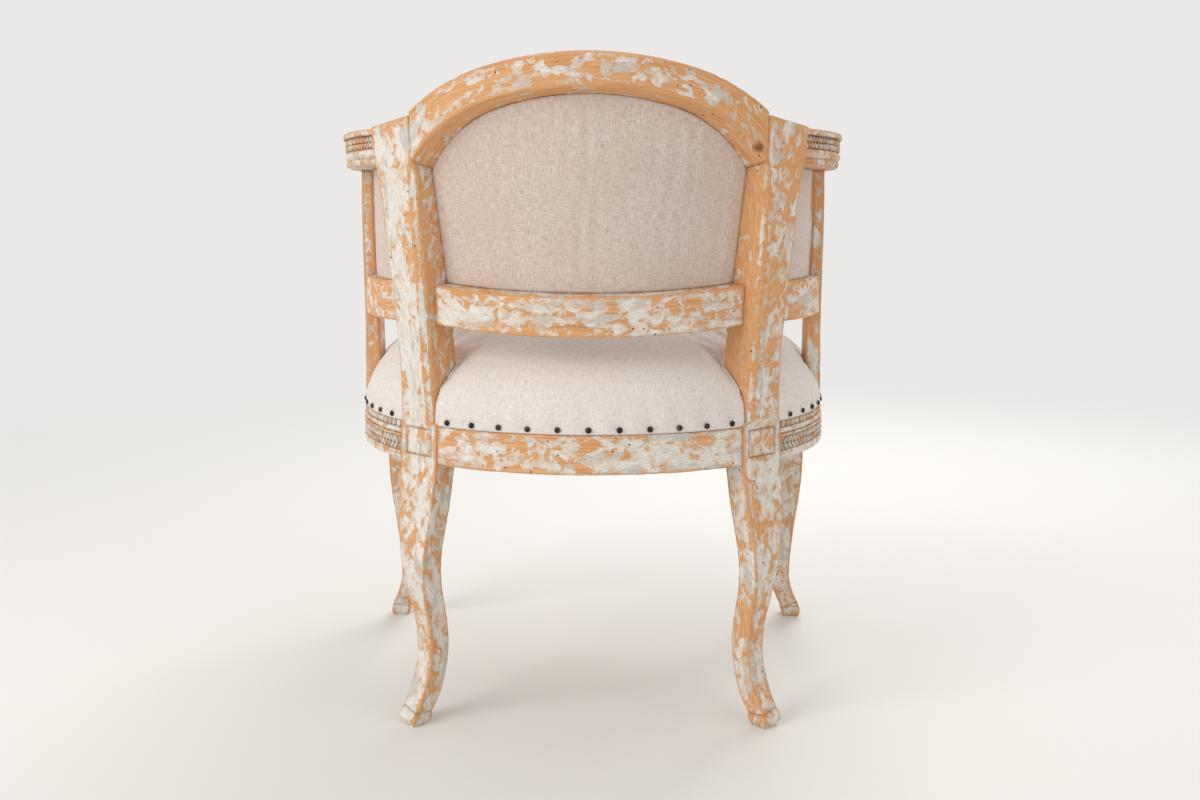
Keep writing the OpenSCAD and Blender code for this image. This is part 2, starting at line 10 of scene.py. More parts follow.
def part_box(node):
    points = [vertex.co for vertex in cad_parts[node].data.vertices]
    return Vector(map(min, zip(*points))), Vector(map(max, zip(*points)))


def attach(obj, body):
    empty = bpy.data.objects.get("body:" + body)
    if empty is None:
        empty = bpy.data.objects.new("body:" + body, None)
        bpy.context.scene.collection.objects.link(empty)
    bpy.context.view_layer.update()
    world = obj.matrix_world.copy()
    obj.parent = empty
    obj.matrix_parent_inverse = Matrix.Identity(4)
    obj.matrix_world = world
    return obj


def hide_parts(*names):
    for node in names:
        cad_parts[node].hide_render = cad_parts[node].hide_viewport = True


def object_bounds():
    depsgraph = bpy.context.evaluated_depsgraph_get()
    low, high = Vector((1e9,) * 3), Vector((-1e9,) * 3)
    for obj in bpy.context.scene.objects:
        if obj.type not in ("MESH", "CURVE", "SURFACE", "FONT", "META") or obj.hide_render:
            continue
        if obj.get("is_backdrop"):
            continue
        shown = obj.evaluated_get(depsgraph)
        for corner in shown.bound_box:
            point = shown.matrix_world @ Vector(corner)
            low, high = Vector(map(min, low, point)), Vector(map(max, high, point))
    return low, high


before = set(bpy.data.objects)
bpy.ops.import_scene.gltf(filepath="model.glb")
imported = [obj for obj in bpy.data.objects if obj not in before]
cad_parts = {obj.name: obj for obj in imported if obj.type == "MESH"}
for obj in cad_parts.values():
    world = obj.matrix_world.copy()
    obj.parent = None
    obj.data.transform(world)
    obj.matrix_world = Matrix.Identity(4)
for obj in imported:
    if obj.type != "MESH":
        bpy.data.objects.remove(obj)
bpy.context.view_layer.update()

# ---------------------------------------------------------------------- studio
# A pale seamless floor, soft daylight from a large window on one side, and
# a low camera that looks level at the chair's back, 0.6 m above the floor.


def linear(hex_colour):
    """An sRGB hex colour as the linear RGBA that the nodes take."""
    parts = [int(hex_colour[i:i + 2], 16) / 255 for i in (1, 3, 5)]
    return tuple(c / 12.92 if c <= 0.04045 else ((c + 0.055) / 1.055) ** 2.4
                 for c in parts) + (1.0,)


def add(tree, kind, inputs=None, **settings):
    """Adds a node with its settings, and sets or links its inputs."""
    node = tree.nodes.new(kind)
    for name, value in settings.items():
        setattr(node, name, value)
    for key, value in (inputs or {}).items():
        if isinstance(value, bpy.types.NodeSocket):
            tree.links.new(value, node.inputs[key])
        else:
            node.inputs[key].default_value = value
    return node


def calc(tree, operation, *values, **settings):
    """The result of a sum on the nodes, from sockets or numbers."""
    return add(tree, "ShaderNodeMath", dict(enumerate(values)), operation=operation,
               **settings).outputs[0]


def mixed(tree, share, first, second):
    """Two colours, each a socket or a hex colour, mixed by share."""
    first, second = (linear(c) if isinstance(c, str) else c for c in (first, second))
    return add(tree, "ShaderNodeMix", {0: share, 6: first, 7: second},
               data_type="RGBA").outputs[2]


def spread(tree, value, low, high, to_low=0.0, to_high=1.0, **settings):
    """Maps the range from low to high on to the range from to_low to to_high."""
    return add(tree, "ShaderNodeMapRange", {"Value": value, "From Min": low, "From Max": high,
                                            "To Min": to_low, "To Max": to_high},
               **settings).outputs[0]


def stretched_noise(tree, spot, sizes, detail, roughness=0.5, warp=0.0):
    """Noise with grains of these sizes along the three axes, in mm."""
    scaled = add(tree, "ShaderNodeVectorMath", {0: spot, 1: [1000 / mm for mm in sizes]},
                 operation="MULTIPLY")
    return add(tree, "ShaderNodeTexNoise",
               {"Vector": scaled.outputs[0], "Scale": 1.0, "Detail": detail,
                "Roughness": roughness, "Distortion": warp}).outputs[0]


def emboss(tree, shader, height, distance, strength=1.0):
    """Raises the shader's surface by a height, over a distance in metres."""
    bump = add(tree, "ShaderNodeBump", {"Height": height, "Strength": strength,
                                        "Distance": distance})
    tree.links.new(bump.outputs[0], shader.inputs["Normal"])


def material(name, **constants):
    """A new material, its node tree and its shader with constants set on it."""
    made = bpy.data.materials.new(name)
    made.use_nodes = True
    shader = made.node_tree.nodes["Principled BSDF"]
    for key, value in constants.items():
        shader.inputs[key.replace("_", " ")].default_value = value
    return made, made.node_tree, shader


def put(name, data):
    """A new object of a mesh, a lamp or a camera, linked into the scene."""
    made = bpy.data.objects.new(name, data)
    scene.collection.objects.link(made)
    return made


def coat(piece, finish):
    """Gives a piece one material."""
    piece.data.materials.clear()
    piece.data.materials.append(finish)


scene = bpy.context.scene
scene.view_settings.view_transform = "Standard"

camera_turn = math.radians(0.77)
camera = put("camera", bpy.data.cameras.new("camera"))
camera.data.lens = 38.1
camera.data.sensor_width = 36
camera.data.shift_y = -0.1567
camera.location = (-0.0327, 1.6735, 0.611)
camera.rotation_euler = (math.radians(90), 0, math.radians(180) + camera_turn)
scene.camera = camera

floor_half, fade_from, fade_to, backdrop = 6, 0.7, 3.2, "#EBE9E7"
floor_mesh = bpy.data.meshes.new("floor")
floor_mesh.from_pydata([(-floor_half, -floor_half, 0), (floor_half, -floor_half, 0),
                        (floor_half, floor_half, 0), (-floor_half, floor_half, 0)],
                       [], [(0, 1, 2, 3)])
put("floor", floor_mesh)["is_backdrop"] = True
pale, ground, shader = material("pale_floor", Base_Color=linear("#E9E6E1"), Roughness=0.7)
here = add(ground, "ShaderNodeTexCoord").outputs["Object"]
far = add(ground, "ShaderNodeVectorMath", {0: here}, operation="LENGTH").outputs["Value"]
fade = spread(ground, far, fade_from, fade_to, interpolation_type="SMOOTHSTEP")
ray = add(ground, "ShaderNodeLightPath")
fade = calc(ground, "MULTIPLY", fade, ray.outputs["Is Camera Ray"])
glow = add(ground, "ShaderNodeEmission", {"Color": linear(backdrop), "Strength": 1.0})
blended = add(ground, "ShaderNodeMixShader", {0: fade, 1: shader.outputs[0], 2: glow.outputs[0]})
ground.links.new(blended.outputs[0], ground.nodes["Material Output"].inputs["Surface"])
floor_mesh.materials.append(pale)

world = bpy.data.worlds.new("daylight")
scene.world = world
world.use_nodes = True
sky = world.node_tree
sky.nodes.clear()
eye = add(sky, "ShaderNodeLightPath")
seen = calc(sky, "MAXIMUM", eye.outputs["Is Camera Ray"], eye.outputs["Is Glossy Ray"])
seen = calc(sky, "MAXIMUM", seen, eye.outputs["Is Transmission Ray"])
air = add(sky, "ShaderNodeBackground", {"Color": linear("#FFFFFF"), "Strength": 0.66})
wall = add(sky, "ShaderNodeBackground", {"Color": linear(backdrop), "Strength": 1.0})
both_skies = add(sky, "ShaderNodeMixShader", {0: seen, 1: air.outputs[0], 2: wall.outputs[0]})
add(sky, "ShaderNodeOutputWorld", {"Surface": both_skies.outputs[0]})

for lamp_name, place, size, power in (("window", (2.6, 2.0, 1.8), 2.0, 58),
                                      ("room", (-2.2, 2.0, 1.5), 2.4, 13),
                                      ("far_window", (-0.9, -2.4, 2.1), 2.0, 42)):
    lamp = put(lamp_name, bpy.data.lights.new(lamp_name, "AREA"))
    lamp.data.size = size
    lamp.data.energy = power
    lamp.location = place
    aim = Vector((0, 0, 0.4)) - Vector(place)
    lamp.rotation_mode = "QUATERNION"
    lamp.rotation_quaternion = aim.to_track_quat("-Z", "Y")

# ------------------------------------------------------ rear legs and stiles
# Each is sawn from one thick pine plank: a sabre leg, a square block for the
# seat rails' joints with a sunk line round its panel, and a raked stile. The
# arrises are worn round, and the foot ends in a pad under a slanting groove.

seat_r, rail_z, rail_top, rail_t = 312, 309, 375, 30
cover_z, lean_z = 355, 361
block_w, stile_t, chamfer = 66, 46, 8
post_az, rake, splay = math.radians(42), math.radians(9), math.radians(3)
t_dir = np.array([math.cos(post_az), -math.sin(post_az)])
n_dir = np.array([math.sin(post_az), math.cos(post_az)])
corner = n_dir * math.sqrt(seat_r ** 2 - (block_w / 2) ** 2) - t_dir * block_w / 2
lean_t = math.tan(splay) * math.cos(post_az) - math.tan(rake) * math.sin(post_az)
lean_n = math.tan(splay) * math.sin(post_az) + math.tan(rake) * math.cos(post_az)
stile_out, stile_top, stile_step, chamfer_end = block_w - 15, 722, 10, 677
front_y, front_bow = -191, 24
y_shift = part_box("seat_rail_front")[0].y * 1000 - (front_y - front_bow)

# rows of a share of the height, and the leg's offsets and widths there in mm
LEG = [(0.00, 11, 24, 26, 26), (0.04, 10.5, 23.5, 28, 28), (0.11, 10.5, 10, 28, 28),
       (0.23, 11, -2, 27, 27), (0.36, 10.5, -0.5, 28, 28), (0.52, 8.5, 11.5, 33, 29),
       (0.66, 1, 17, 46, 28.5), (0.84, 0, 7, 62, 30), (1.00, 0, 0, 66, 31)]
FLARE = [(0.00, 11), (0.16, 3), (0.28, 0), (0.79, 0), (0.88, 3.5), (1.00, 0.5)]


def smooth(table, x):
    """The row of a table at x, on a smooth curve through its rows."""
    rows = np.array(table, float)
    i = int(np.clip(np.searchsorted(rows[:, 0], x, side="left") - 1, 0, len(rows) - 2))

    def slope(k):
        a, b = max(k - 1, 0), min(k + 1, len(rows) - 1)
        return (rows[b] - rows[a]) / (rows[b][0] - rows[a][0])

    h = rows[i + 1][0] - rows[i][0]
    u = (x - rows[i][0]) / h
    return ((2 * u ** 3 - 3 * u ** 2 + 1) * rows[i] + (u ** 3 - 2 * u ** 2 + u) * h * slope(i)
            + (3 * u ** 2 - 2 * u ** 3) * rows[i + 1] + (u ** 3 - u ** 2) * h * slope(i + 1))


def section(x0, x1, y0, y1, cut):
    """Five-cornered section, anticlockwise, with the inner rear corner cut off."""
    return np.array([(x0, y0), (x1, y0), (x1, y1), (x0 + cut, y1), (x0, y1 - cut)], float)


def stile_section(z):
    """The upright's section at a height, in the block's own directions."""
    if z < cover_z + 2:
        return section(0, block_w, -stile_t, 0, 1)
    side = stile_out + smooth(FLARE, (z - lean_z) / (stile_top - lean_z))[1]
    back = 2 + lean_n * (z - lean_z)
    cut = 1 + (chamfer - 1) * float(np.clip((chamfer_end - z) / 23, 0, 1))
    return section(5.6 + lean_t * (z - lean_z), side, back - stile_t, back, cut)


def leg_section(z):
    """The sabre leg's section at a height."""
    if z > rail_z:
        return stile_section(z)
    q = smooth(LEG, z / rail_z)
    return section(q[1], q[1] + q[3], q[2] - q[4], q[2], 1)


def eased(corners, shares, radius=2.0):
    """Points round a section whose arrises are worn round, and how near each
    point is to an arris, from 0 to 1. shares gives the points of each side."""
    points, near = [], []
    count = len(corners)
    lengths = [np.linalg.norm(corners[(i + 1) % count] - corners[i]) for i in range(count)]
    for i in range(count):
        here, after = corners[i], corners[(i + 1) % count]
        before = corners[i - 1]
        r = min(radius, 0.4 * lengths[i], 0.4 * lengths[i - 1])
        a = here + (before - here) * r / max(lengths[i - 1], 1e-6)
        b = here + (after - here) * r / max(lengths[i], 1e-6)
        for t, rub in ((0.0, 0.55), (0.5, 1.0), (1.0, 0.55)):
            points.append((1 - t) ** 2 * a + 2 * t * (1 - t) * here + t * t * b)
            near.append(rub)
        for share in shares[i]:
            d = r + (lengths[i] - 2 * r) * share
            points.append(here + (after - here) * d / max(lengths[i], 1e-6))
            near.append(0.6 * math.exp(-(min(d, lengths[i] - d) / 2.6) ** 2))
    return np.array(points), np.array(near)


def even(count):
    """Shares of a side for evenly spaced points between its ends."""
    return [(k + 1) / (count + 1) for k in range(count)]


def on_circle(r, a, centre=0.0):
    """A place in plan on a circle whose middle is centre behind the seat's axis."""
    return r * math.sin(a), centre + r * math.cos(a)


def to_chair(points):
    """From the rear block's own directions to the seat's."""
    out = points.copy()
    out[..., :2] = corner + points[..., :1] * t_dir + points[..., 1:2] * n_dir
    return out


def to_block(points):
    """From the seat's directions to the rear block's own."""
    rel = points[..., :2] - corner
    return np.stack([rel @ t_dir, rel @ n_dir, points[..., 2]], -1)


def weathered(rings, worn, seed, depth=1.4):
    """Lets hand-planed faces wander a little and dents the arrises."""
    middle = rings.mean(axis=1, keepdims=True)
    inward = middle - rings
    inward /= np.maximum(np.linalg.norm(inward, axis=2, keepdims=True), 1e-6)
    shift = Vector((seed * 7.3, seed * 3.1, seed))
    move = np.empty(rings.shape[:2])
    for i in range(rings.shape[0]):
        for j in range(rings.shape[1]):
            p = Vector(rings[i, j])
            wander = 0.22 * noise.noise(p / 34 + shift)
            dent = max(0.0, noise.noise(p / 9 + shift) - 0.1) * depth * worn[i, j]
            move[i, j] = 0.18 + wander + dent
    return rings + inward * move[..., None]


def tag(mesh, key, values):
    """Stores a number or a place on each point of a mesh."""
    values = np.asarray(values, np.float32)
    kind, field = ("FLOAT", "value") if values.ndim == 1 else ("FLOAT_VECTOR", "vector")
    mesh.attributes.new(key, kind, "POINT").data.foreach_set(field, values.ravel())


def points_of(mesh):
    """The places of a mesh's points, in metres."""
    places = np.empty(len(mesh.vertices) * 3, np.float32)
    mesh.vertices.foreach_get("co", places)
    return places.reshape(-1, 3)


def move_points(mesh, places):
    """Puts a mesh's points in new places, in metres."""
    mesh.vertices.foreach_set("co", places.astype(np.float32).ravel())
    mesh.update()


def skin(name, rings, worn, sunk, grain, caps=True):
    """A closed skin over a stack of rings, in metres, with the attributes that
    the paint reads: worn, the painted shade of recesses, and grain, a place
    in the plank with z along it."""
    def shrink(k, share, inside):
        mid = rings[k].mean(axis=0)
        gmid = grain[k].mean(axis=0)
        return (mid + (rings[k] - mid) * share, worn[k] * inside, sunk[k] * inside,
                gmid + (grain[k] - gmid) * share)

    first = [shrink(0, s, s) for s in (0.02, 0.4, 0.75)] if caps else []
    last = [shrink(-1, s, s) for s in (0.75, 0.4, 0.02)] if caps else []
    layers = first + [(rings[k], worn[k], sunk[k], grain[k]) for k in range(len(rings))] + last
    places = np.concatenate([layer[0] for layer in layers]) + (0, y_shift, 0)
    n, m = rings.shape[1], len(layers)
    faces = [(j * n + i, j * n + (i + 1) % n, (j + 1) * n + (i + 1) % n, (j + 1) * n + i)
             for j in range(m - 1) for i in range(n)]
    if caps:
        faces += [tuple(range(n))[::-1], tuple((m - 1) * n + i for i in range(n))]
    mesh = bpy.data.meshes.new(name)
    mesh.from_pydata((places / 1000).tolist(), [], faces)
    tag(mesh, "worn", np.concatenate([layer[1] for layer in layers]))
    tag(mesh, "sunk", np.concatenate([layer[2] for layer in layers]))
    tag(mesh, "grain", np.concatenate([layer[3] for layer in layers]).astype(np.float32) / 1000)
    return finished(name, mesh)


@contextlib.contextmanager
def reworked(mesh):
    """Opens a mesh for a change to its faces, and writes the change back."""
    work = bmesh.new()
    work.from_mesh(mesh)
    yield work
    work.to_mesh(mesh)
    work.free()


def finished(name, mesh):
    """Puts a mesh in the scene with its faces turned outwards and shaded smooth."""
    with reworked(mesh) as work:
        bmesh.ops.remove_doubles(work, verts=work.verts, dist=1e-5)
        bmesh.ops.recalc_face_normals(work, faces=work.faces)
    mesh.shade_smooth()
    return put(name, mesh)


def as_shown(piece):
    """A new mesh of a piece with its modifiers at work."""
    return bpy.data.meshes.new_from_object(
        piece.evaluated_get(bpy.context.evaluated_depsgraph_get()))


def settle(piece, slot, finish, *nodes):
    """Gives a piece its finish, and says which solids it stands for."""
    coat(piece, finish)
    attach(piece, "root")
    if nodes:
        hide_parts(*nodes)


next_length = 0.61  # metres further along the plank


def other_side(piece, name, more_wear=0.0):
    """A copy on the chair's other side, from another length of the plank. Its
    extra wear sets in above the seat's underside, 0.30 m up."""
    mesh = piece.data.copy()
    mesh.name = name
    places = points_of(mesh)
    places[:, 0] *= -1
    move_points(mesh, places)
    mesh.flip_normals()
    cut = mesh.attributes.get("grain")
    if cut:
        plank_place = np.empty(places.size, np.float32)
        cut.data.foreach_get("vector", plank_place)
        cut.data.foreach_set("vector", plank_place + np.float32(next_length))
        rubs = np.empty(len(places), np.float32)
        mesh.attributes["worn"].data.foreach_get("value", rubs)
        rubs += more_wear * np.interp(places[:, 2], (0.30, 0.42), (-0.15, 1))
        mesh.attributes["worn"].data.foreach_set("value", rubs)
    mesh.update()
    return put(name, mesh)


def settle_both(left, node, more_wear=0.0):
    """Settles a painted piece on the chair's left and its copy on the right."""
    right = other_side(left, left.name.replace("_left", "_right"), more_wear)
    settle(left, "painted_pine", paint, node + "_left")
    settle(right, "painted_pine", paint, node + "_right")


# Old casein paint brushed in two coats on pine, flaking after a century: a
# grey-green ground under cream. The eye gets chips whose raised rims carry a
# painted highlight, bare orange wood with its grain, rubbed arrises, brush
# ridges and worm holes.
paint, tree, shader = material("chipped_casein_paint_on_pine")
plank = add(tree, "ShaderNodeAttribute", attribute_name="grain").outputs["Vector"]
rubbed = add(tree, "ShaderNodeAttribute", attribute_name="worn").outputs["Fac"]
# painted shade of grooves, hollows and carving bases, stored on each piece
recess_shade_fac = add(tree, "ShaderNodeAttribute", attribute_name="sunk").outputs["Fac"]
# grains of each pattern in mm, across the plank and along it
patterns = {key: stretched_noise(tree, plank, (across, across, along), detail, 0.6, warp)
            for key, across, along, detail, warp in (
                ("chip", 12, 16, 1.8, 0.7), ("patch", 55, 95, 2, 0.3), ("ring", 1.3, 60, 3, 0.0),
                ("crumb", 3.4, 5.2, 3, 0.8), ("coat", 20, 60, 3, 0.7),
                ("brush", 2.6, 11, 3, 1.6))}
peel = calc(tree, "MULTIPLY", patterns["patch"], 0.52)
for source, weight in ((patterns["chip"], 0.68), (patterns["ring"], 0.04),
                       (patterns["crumb"], 0.19), (patterns["brush"], 0.04), (rubbed, 0.19)):
    peel = calc(tree, "MULTIPLY_ADD", source, weight, peel)
ground_coat = calc(tree, "MULTIPLY_ADD", rubbed, 0.12, patterns["coat"])
bare_at = 0.80
masks = {key: spread(tree, source, low, high, interpolation_type="SMOOTHSTEP")
         for key, source, low, high in (
             ("bare", peel, bare_at, bare_at + 0.014),
             ("rim", peel, bare_at - 0.020, bare_at - 0.003),
             ("thin", peel, bare_at - 0.11, bare_at), ("ground", ground_coat, 0.55, 0.60),
             ("streak", patterns["ring"], 0.38, 0.62),
             ("brushed", patterns["brush"], 0.35, 0.65))}
cream = mixed(tree, masks["brushed"], "#CDC5BA", "#E5DFD6")
grey_green = mixed(tree, masks["brushed"], "#A9A69D", "#C3C0B8")
wood = mixed(tree, masks["streak"], "#C88E58", "#DAA878")
coats = mixed(tree, calc(tree, "MULTIPLY", masks["ground"], 0.7), cream, grey_green)
coats = mixed(tree, calc(tree, "MULTIPLY", masks["thin"], 0.60), coats, "#D3A87B")
# a pale band round each chip: painted highlight on the raised paint edge
coats = mixed(tree, calc(tree, "MULTIPLY", masks["rim"], 0.5), coats, "#EDE6DA")
coats = mixed(tree, masks["bare"], coats, wood)
# recesses are darkened brown here: painted shade
shade_share = calc(tree, "MULTIPLY", recess_shade_fac, 0.85, use_clamp=True)
coats = mixed(tree, shade_share, coats, "#8E6238")
worms = add(tree, "ShaderNodeTexVoronoi", {"Vector": plank, "Scale": 1000 / 15},
            voronoi_dimensions="3D")
hole = spread(tree, worms.outputs["Distance"], 0.065, 0.09, 1, 0)
lucky = add(tree, "ShaderNodeSeparateColor", {0: worms.outputs["Color"]}).outputs[0]
hole = calc(tree, "MULTIPLY", hole, calc(tree, "GREATER_THAN", lucky, 0.62))
tree.links.new(mixed(tree, hole, coats, "#4A3320"), shader.inputs["Base Color"])
tree.links.new(spread(tree, masks["bare"], 0, 1, 0.58, 0.74), shader.inputs["Roughness"])
relief = patterns["brush"]
for source, weight in ((masks["bare"], -1.0), (masks["rim"], 0.35), (masks["ground"], -0.35),
                       (patterns["crumb"], 0.8)):
    relief = calc(tree, "MULTIPLY_ADD", source, weight, relief)
emboss(tree, shader, relief, 0.0007, 0.75)

foot_top, foot = 26, list(np.arange(0, 26, 1.3))
leg_heights = foot + list(np.arange(foot_top + 1, rail_z - 1, 3.6))
panel_low, panel_high = rail_z + 9, cover_z - 5
at_a_line = (-2.2, -1.4, -0.6, 0.6, 1.4, 2.2)
block_heights = ([rail_z + 0.5, rail_z + 3, rail_z + 5.5] + [panel_low + d for d in at_a_line]
                 + list(np.arange(panel_low + 5, panel_high - 4, 4))
                 + [panel_high + d for d in at_a_line] + [cover_z - 1, cover_z + 1.5])
stile_heights = list(np.arange(lean_z, stile_top - 2, 3.6)) + [stile_top - 1.5, stile_top]


def foot_cut(z, slant, pad):
    """Cut and painted shade of the slanting groove over a foot's pad, and the pad's
    rounding at the floor."""
    pull = 1.5 * np.exp(-((z - slant) / 1.3) ** 2) + pad * max(0.0, 1 - z / 7) ** 2
    return pull, 0.7 * np.exp(-((z - slant) / 1.2) ** 2)


def panel_line(z, past_side):
    """How much of the sunk line round a block's panel is at a height."""
    past_end = np.abs(z - (panel_low + panel_high) / 2) - (panel_high - panel_low) / 2
    return np.exp(-(np.maximum(past_side, past_end) / 1.35) ** 4)


rear_shares = [0.03, 0.07, 0.092, 0.11, 0.128, 0.15, 0.2, 0.26, 0.33, 0.4, 0.47, 0.54, 0.61,
               0.68, 0.75, 0.81, 0.86, 0.882, 0.9, 0.918, 0.94, 0.97]
shares = [even(13), even(10), rear_shares, even(2), even(9)]
rings, worn, sunk = [], [], []
for z in leg_heights + block_heights + stile_heights:
    flat_ring, near = eased(leg_section(z), shares)
    x, y = flat_ring[:, 0], flat_ring[:, 1]
    low_x, high_x = x.min(), x.max()
    fall = stile_step * (x - low_x) / (high_x - low_x) * np.clip((z - stile_top + 40) / 40, 0, 1)
    middle = flat_ring.mean(axis=0)
    pull, shade_mark = np.zeros(len(x)), np.zeros(len(x))
    if z < foot_top:
        pull, shade_mark = foot_cut(z, 17 + 0.16 * (x - x.mean()) + 0.10 * (y - y.mean()), 3.2)
        pull -= 0.6 * math.exp(-((z - 9) / 4) ** 2)
    if rail_z < z < cover_z:
        groove = panel_line(z, np.abs(x - block_w / 2) - 23) * (np.abs(y) < 0.6)
        pull += 1.7 * groove
        # the sunk line round the panel is also darkened with painted shade
        shade_mark += 0.75 * groove
    toward = middle - flat_ring
    toward /= np.linalg.norm(toward, axis=1, keepdims=True)
    if rail_z < z < cover_z:
        toward = np.where(np.abs(y)[:, None] < 0.6, np.array([[0, -1.0]]), toward)
    flat_ring = flat_ring + toward * pull[:, None]
    if z == stile_top:
        flat_ring = middle + (flat_ring - middle) * 0.94
        near = near * 0 + 1
    rings.append(np.column_stack([flat_ring, z - fall]))
    bias = 0.02 + 0.1 * max(0.0, 1 - z / 170) if z < rail_z else 0.05 if z < cover_z else 0.0
    bias += 0.35 * math.exp(-(stile_top - z) / 6)
    inner = (x < low_x + 2) | (y < y.min() + 2)
    worn.append(near * 0.95 + bias + 0.34 * inner * (z > cover_z) + 0.1 * inner)
    sunk.append(shade_mark)
rings, worn, sunk = np.array(rings), np.array(worn), np.array(sunk)
stile = skin("rear_leg_and_stile_left", weathered(to_chair(rings), worn, 1), worn, sunk, rings)
settle_both(stile, "rear_stile", 0.34)

# ---------------------------------------------------------------- seat rails
# The rear rail is a plain curved board tenoned between the rear blocks. The
# side and front rails are carved: fillet, bead, laurel leaves, an ovolo and a
# row of dentils under the cover. The recesses are darkened with painted shade.


def outside_stile(points):
    """Distance of points from the rear upright's surface, below 0 inside it."""
    local = to_block(points)
    out = np.empty(len(local))
    for i, (x, y, z) in enumerate(local):
        corners = stile_section(min(max(z, rail_z), stile_top))
        edges = np.roll(corners, -1, axis=0) - corners
        edges /= np.linalg.norm(edges, axis=1, keepdims=True)
        out[i] = max((x - corners[:, 0]) * edges[:, 1] - (y - corners[:, 1]) * edges[:, 0])
    return out


def trimmed(lines, distance, gap, step):
    """Cuts each lengthwise line of a rail where it comes within gap of its
    neighbour, and spaces its points evenly again, about step apart."""
    count = len(lines)
    clear = np.array([distance(ring) for ring in lines]) - gap
    ends = []
    for j in range(lines.shape[1]):
        k = next((i for i in range(1, count) if clear[i, j] < 0), count - 1)
        a, b = clear[k - 1, j], clear[k, j]
        ends.append(k - 1 + (a / (a - b) if a > 0 > b else 1.0))
    ends = np.array(ends)
    length = along(lines.mean(axis=1))[-1] * ends.mean() / count
    rows = max(int(length / step), 4)
    out = np.empty((rows + 1, lines.shape[1], 3))
    for i in range(rows + 1):
        at = ends * i / rows
        low = np.minimum(at.astype(int), count - 2)
        part = (at - low)[:, None]
        cols = np.arange(lines.shape[1])
        out[i] = lines[low, cols] * (1 - part) + lines[low + 1, cols] * part
    return out


def swung(profile, angles, centre=0.0, way=1):
    """A profile swung round an upright axis: one ring of points for each angle."""
    return np.stack([np.column_stack([profile[:, 0] * math.sin(a),
                                      centre + way * profile[:, 0] * math.cos(a),
                                      profile[:, 1]]) for a in angles])


def both_ways(half):
    """Rings from the middle to the left end, and the same to the right end."""
    return np.concatenate([half[:0:-1] * (-1, 1, 1), half])


def along(places):
    """How far along a line of places each of them is."""
    steps = np.linalg.norm(np.diff(places, axis=0), axis=1)
    return np.concatenate([[0], np.cumsum(steps)])


def rail_piece(name, rings, near, shade_mark, profile, bias, seed, depth=1.2, ends=0.5):
    """Builds a bent rail from its rings, its wear and the profile it was cut to."""
    worn = np.tile(near + bias, (len(rings), 1))
    run = along(rings.mean(axis=1))
    to_end = np.minimum(run, run[-1] - run)
    worn += ends * np.exp(-(to_end / 4) ** 2)[:, None]
    sunk = np.broadcast_to(shade_mark, worn.shape)
    grain = np.empty(rings.shape)
    grain[..., :2] = profile
    grain[..., 2] = run[:, None] + seed * 331
    return skin(name, weathered(rings, np.clip(worn, 0, 1), seed, depth), worn, sunk, grain)


back_r = seat_r - 2
profile, near = eased(np.array([(back_r - rail_t, rail_top), (back_r - rail_t, rail_z),
                                (back_r, rail_z), (back_r, cover_z), (back_r - 3, cover_z),
                                (back_r - 3, rail_top - 1)], float),
                      [even(22), even(10), even(20), even(1), even(6), even(9)])
angles = np.radians(np.arange(0, 46, 0.25))
rings = both_ways(trimmed(swung(profile, angles), outside_stile, 0.35, 3.2))
low_edge = 0.22 * np.exp(-((profile[:, 1] - rail_z) / 7) ** 2)
back_rail = rail_piece("seat_rail_back", rings, near * 0.6 + low_edge, near * 0, profile, 0.10, 2)
settle(back_rail, "painted_pine", paint, "seat_rail_back")

# outline of the carved face: how far out from the frame's line, and height
FACE = [(-1.8, 0), (-1.2, 1), (-1.2, 5), (-0.8, 6), (-0.2, 6.6), (0, 7.4), (-0.3, 8.3), (-1, 8.9),
        (-3.0, 9.3), (-3.0, 26.8), (-1, 27.2), (-0.3, 27.8), (0, 28.7), (-0.4, 29.6),
        (-1.2, 30.2), (-2.8, 30.6), (-2.8, 31.4), (-1.6, 31.8), (-0.8, 32.8), (-0.4, 34.2),
        (-0.5, 35.4), (-1.2, 36.6), (-2.2, 37.2), (-4.6, 37.5), (-4.6, 46), (-5, 46), (-5, 63),
        (-8, 66)]


def carved_profile(r):
    """Closed outline of a carved seat rail, with its wear and the painted shade in its recesses."""
    face = [(r + dx, rail_z + dz) for dx, dz in FACE]
    corners = np.array(face + [(r - rail_t, rail_top), (r - rail_t, rail_z)], float)
    lengths = np.linalg.norm(np.roll(corners, -1, axis=0) - corners, axis=1)
    counts = [even(int(length / 2.4)) if length < 40 else even(9) for length in lengths]
    points, close = eased(corners, counts, 0.3)
    out, up = points[:, 0] - r, points[:, 1] - rail_z
    # painted shade in the hollows of the carving
    deep_shade = 0.62 * ((out < -2.6) & (out > -6) & (up > 9) & (up < 27.2))
    deep_shade += 0.7 * ((out < -2.3) & (out > -6) & (up > 30) & (up < 31.8))
    deep_shade += 0.65 * ((out < -3) & (out > -6) & (up > 37) & (up < 46))
    rub = 0.25 * close
    rub += 0.5 * ((up > 28.8) & (up < 30.8)) + 0.25 * ((up > 5.5) & (up < 6.6))
    return points, rub, deep_shade


profile, near, shade_mark = carved_profile(seat_r)
side_run = 145.7
straight = [np.column_stack([profile[:, 0], np.full(len(profile), -d), profile[:, 1]])
            for d in np.arange(side_run, 0, -1.5)]
bend = swung(profile, np.radians(np.arange(90, 40, -0.25)))
rings = trimmed(np.concatenate([straight, bend]), outside_stile, 0.35, 3.4)
side_rail = rail_piece("carved_side_rail_left", rings, near, shade_mark, profile, -0.24, 3, 0.4, 0.3)

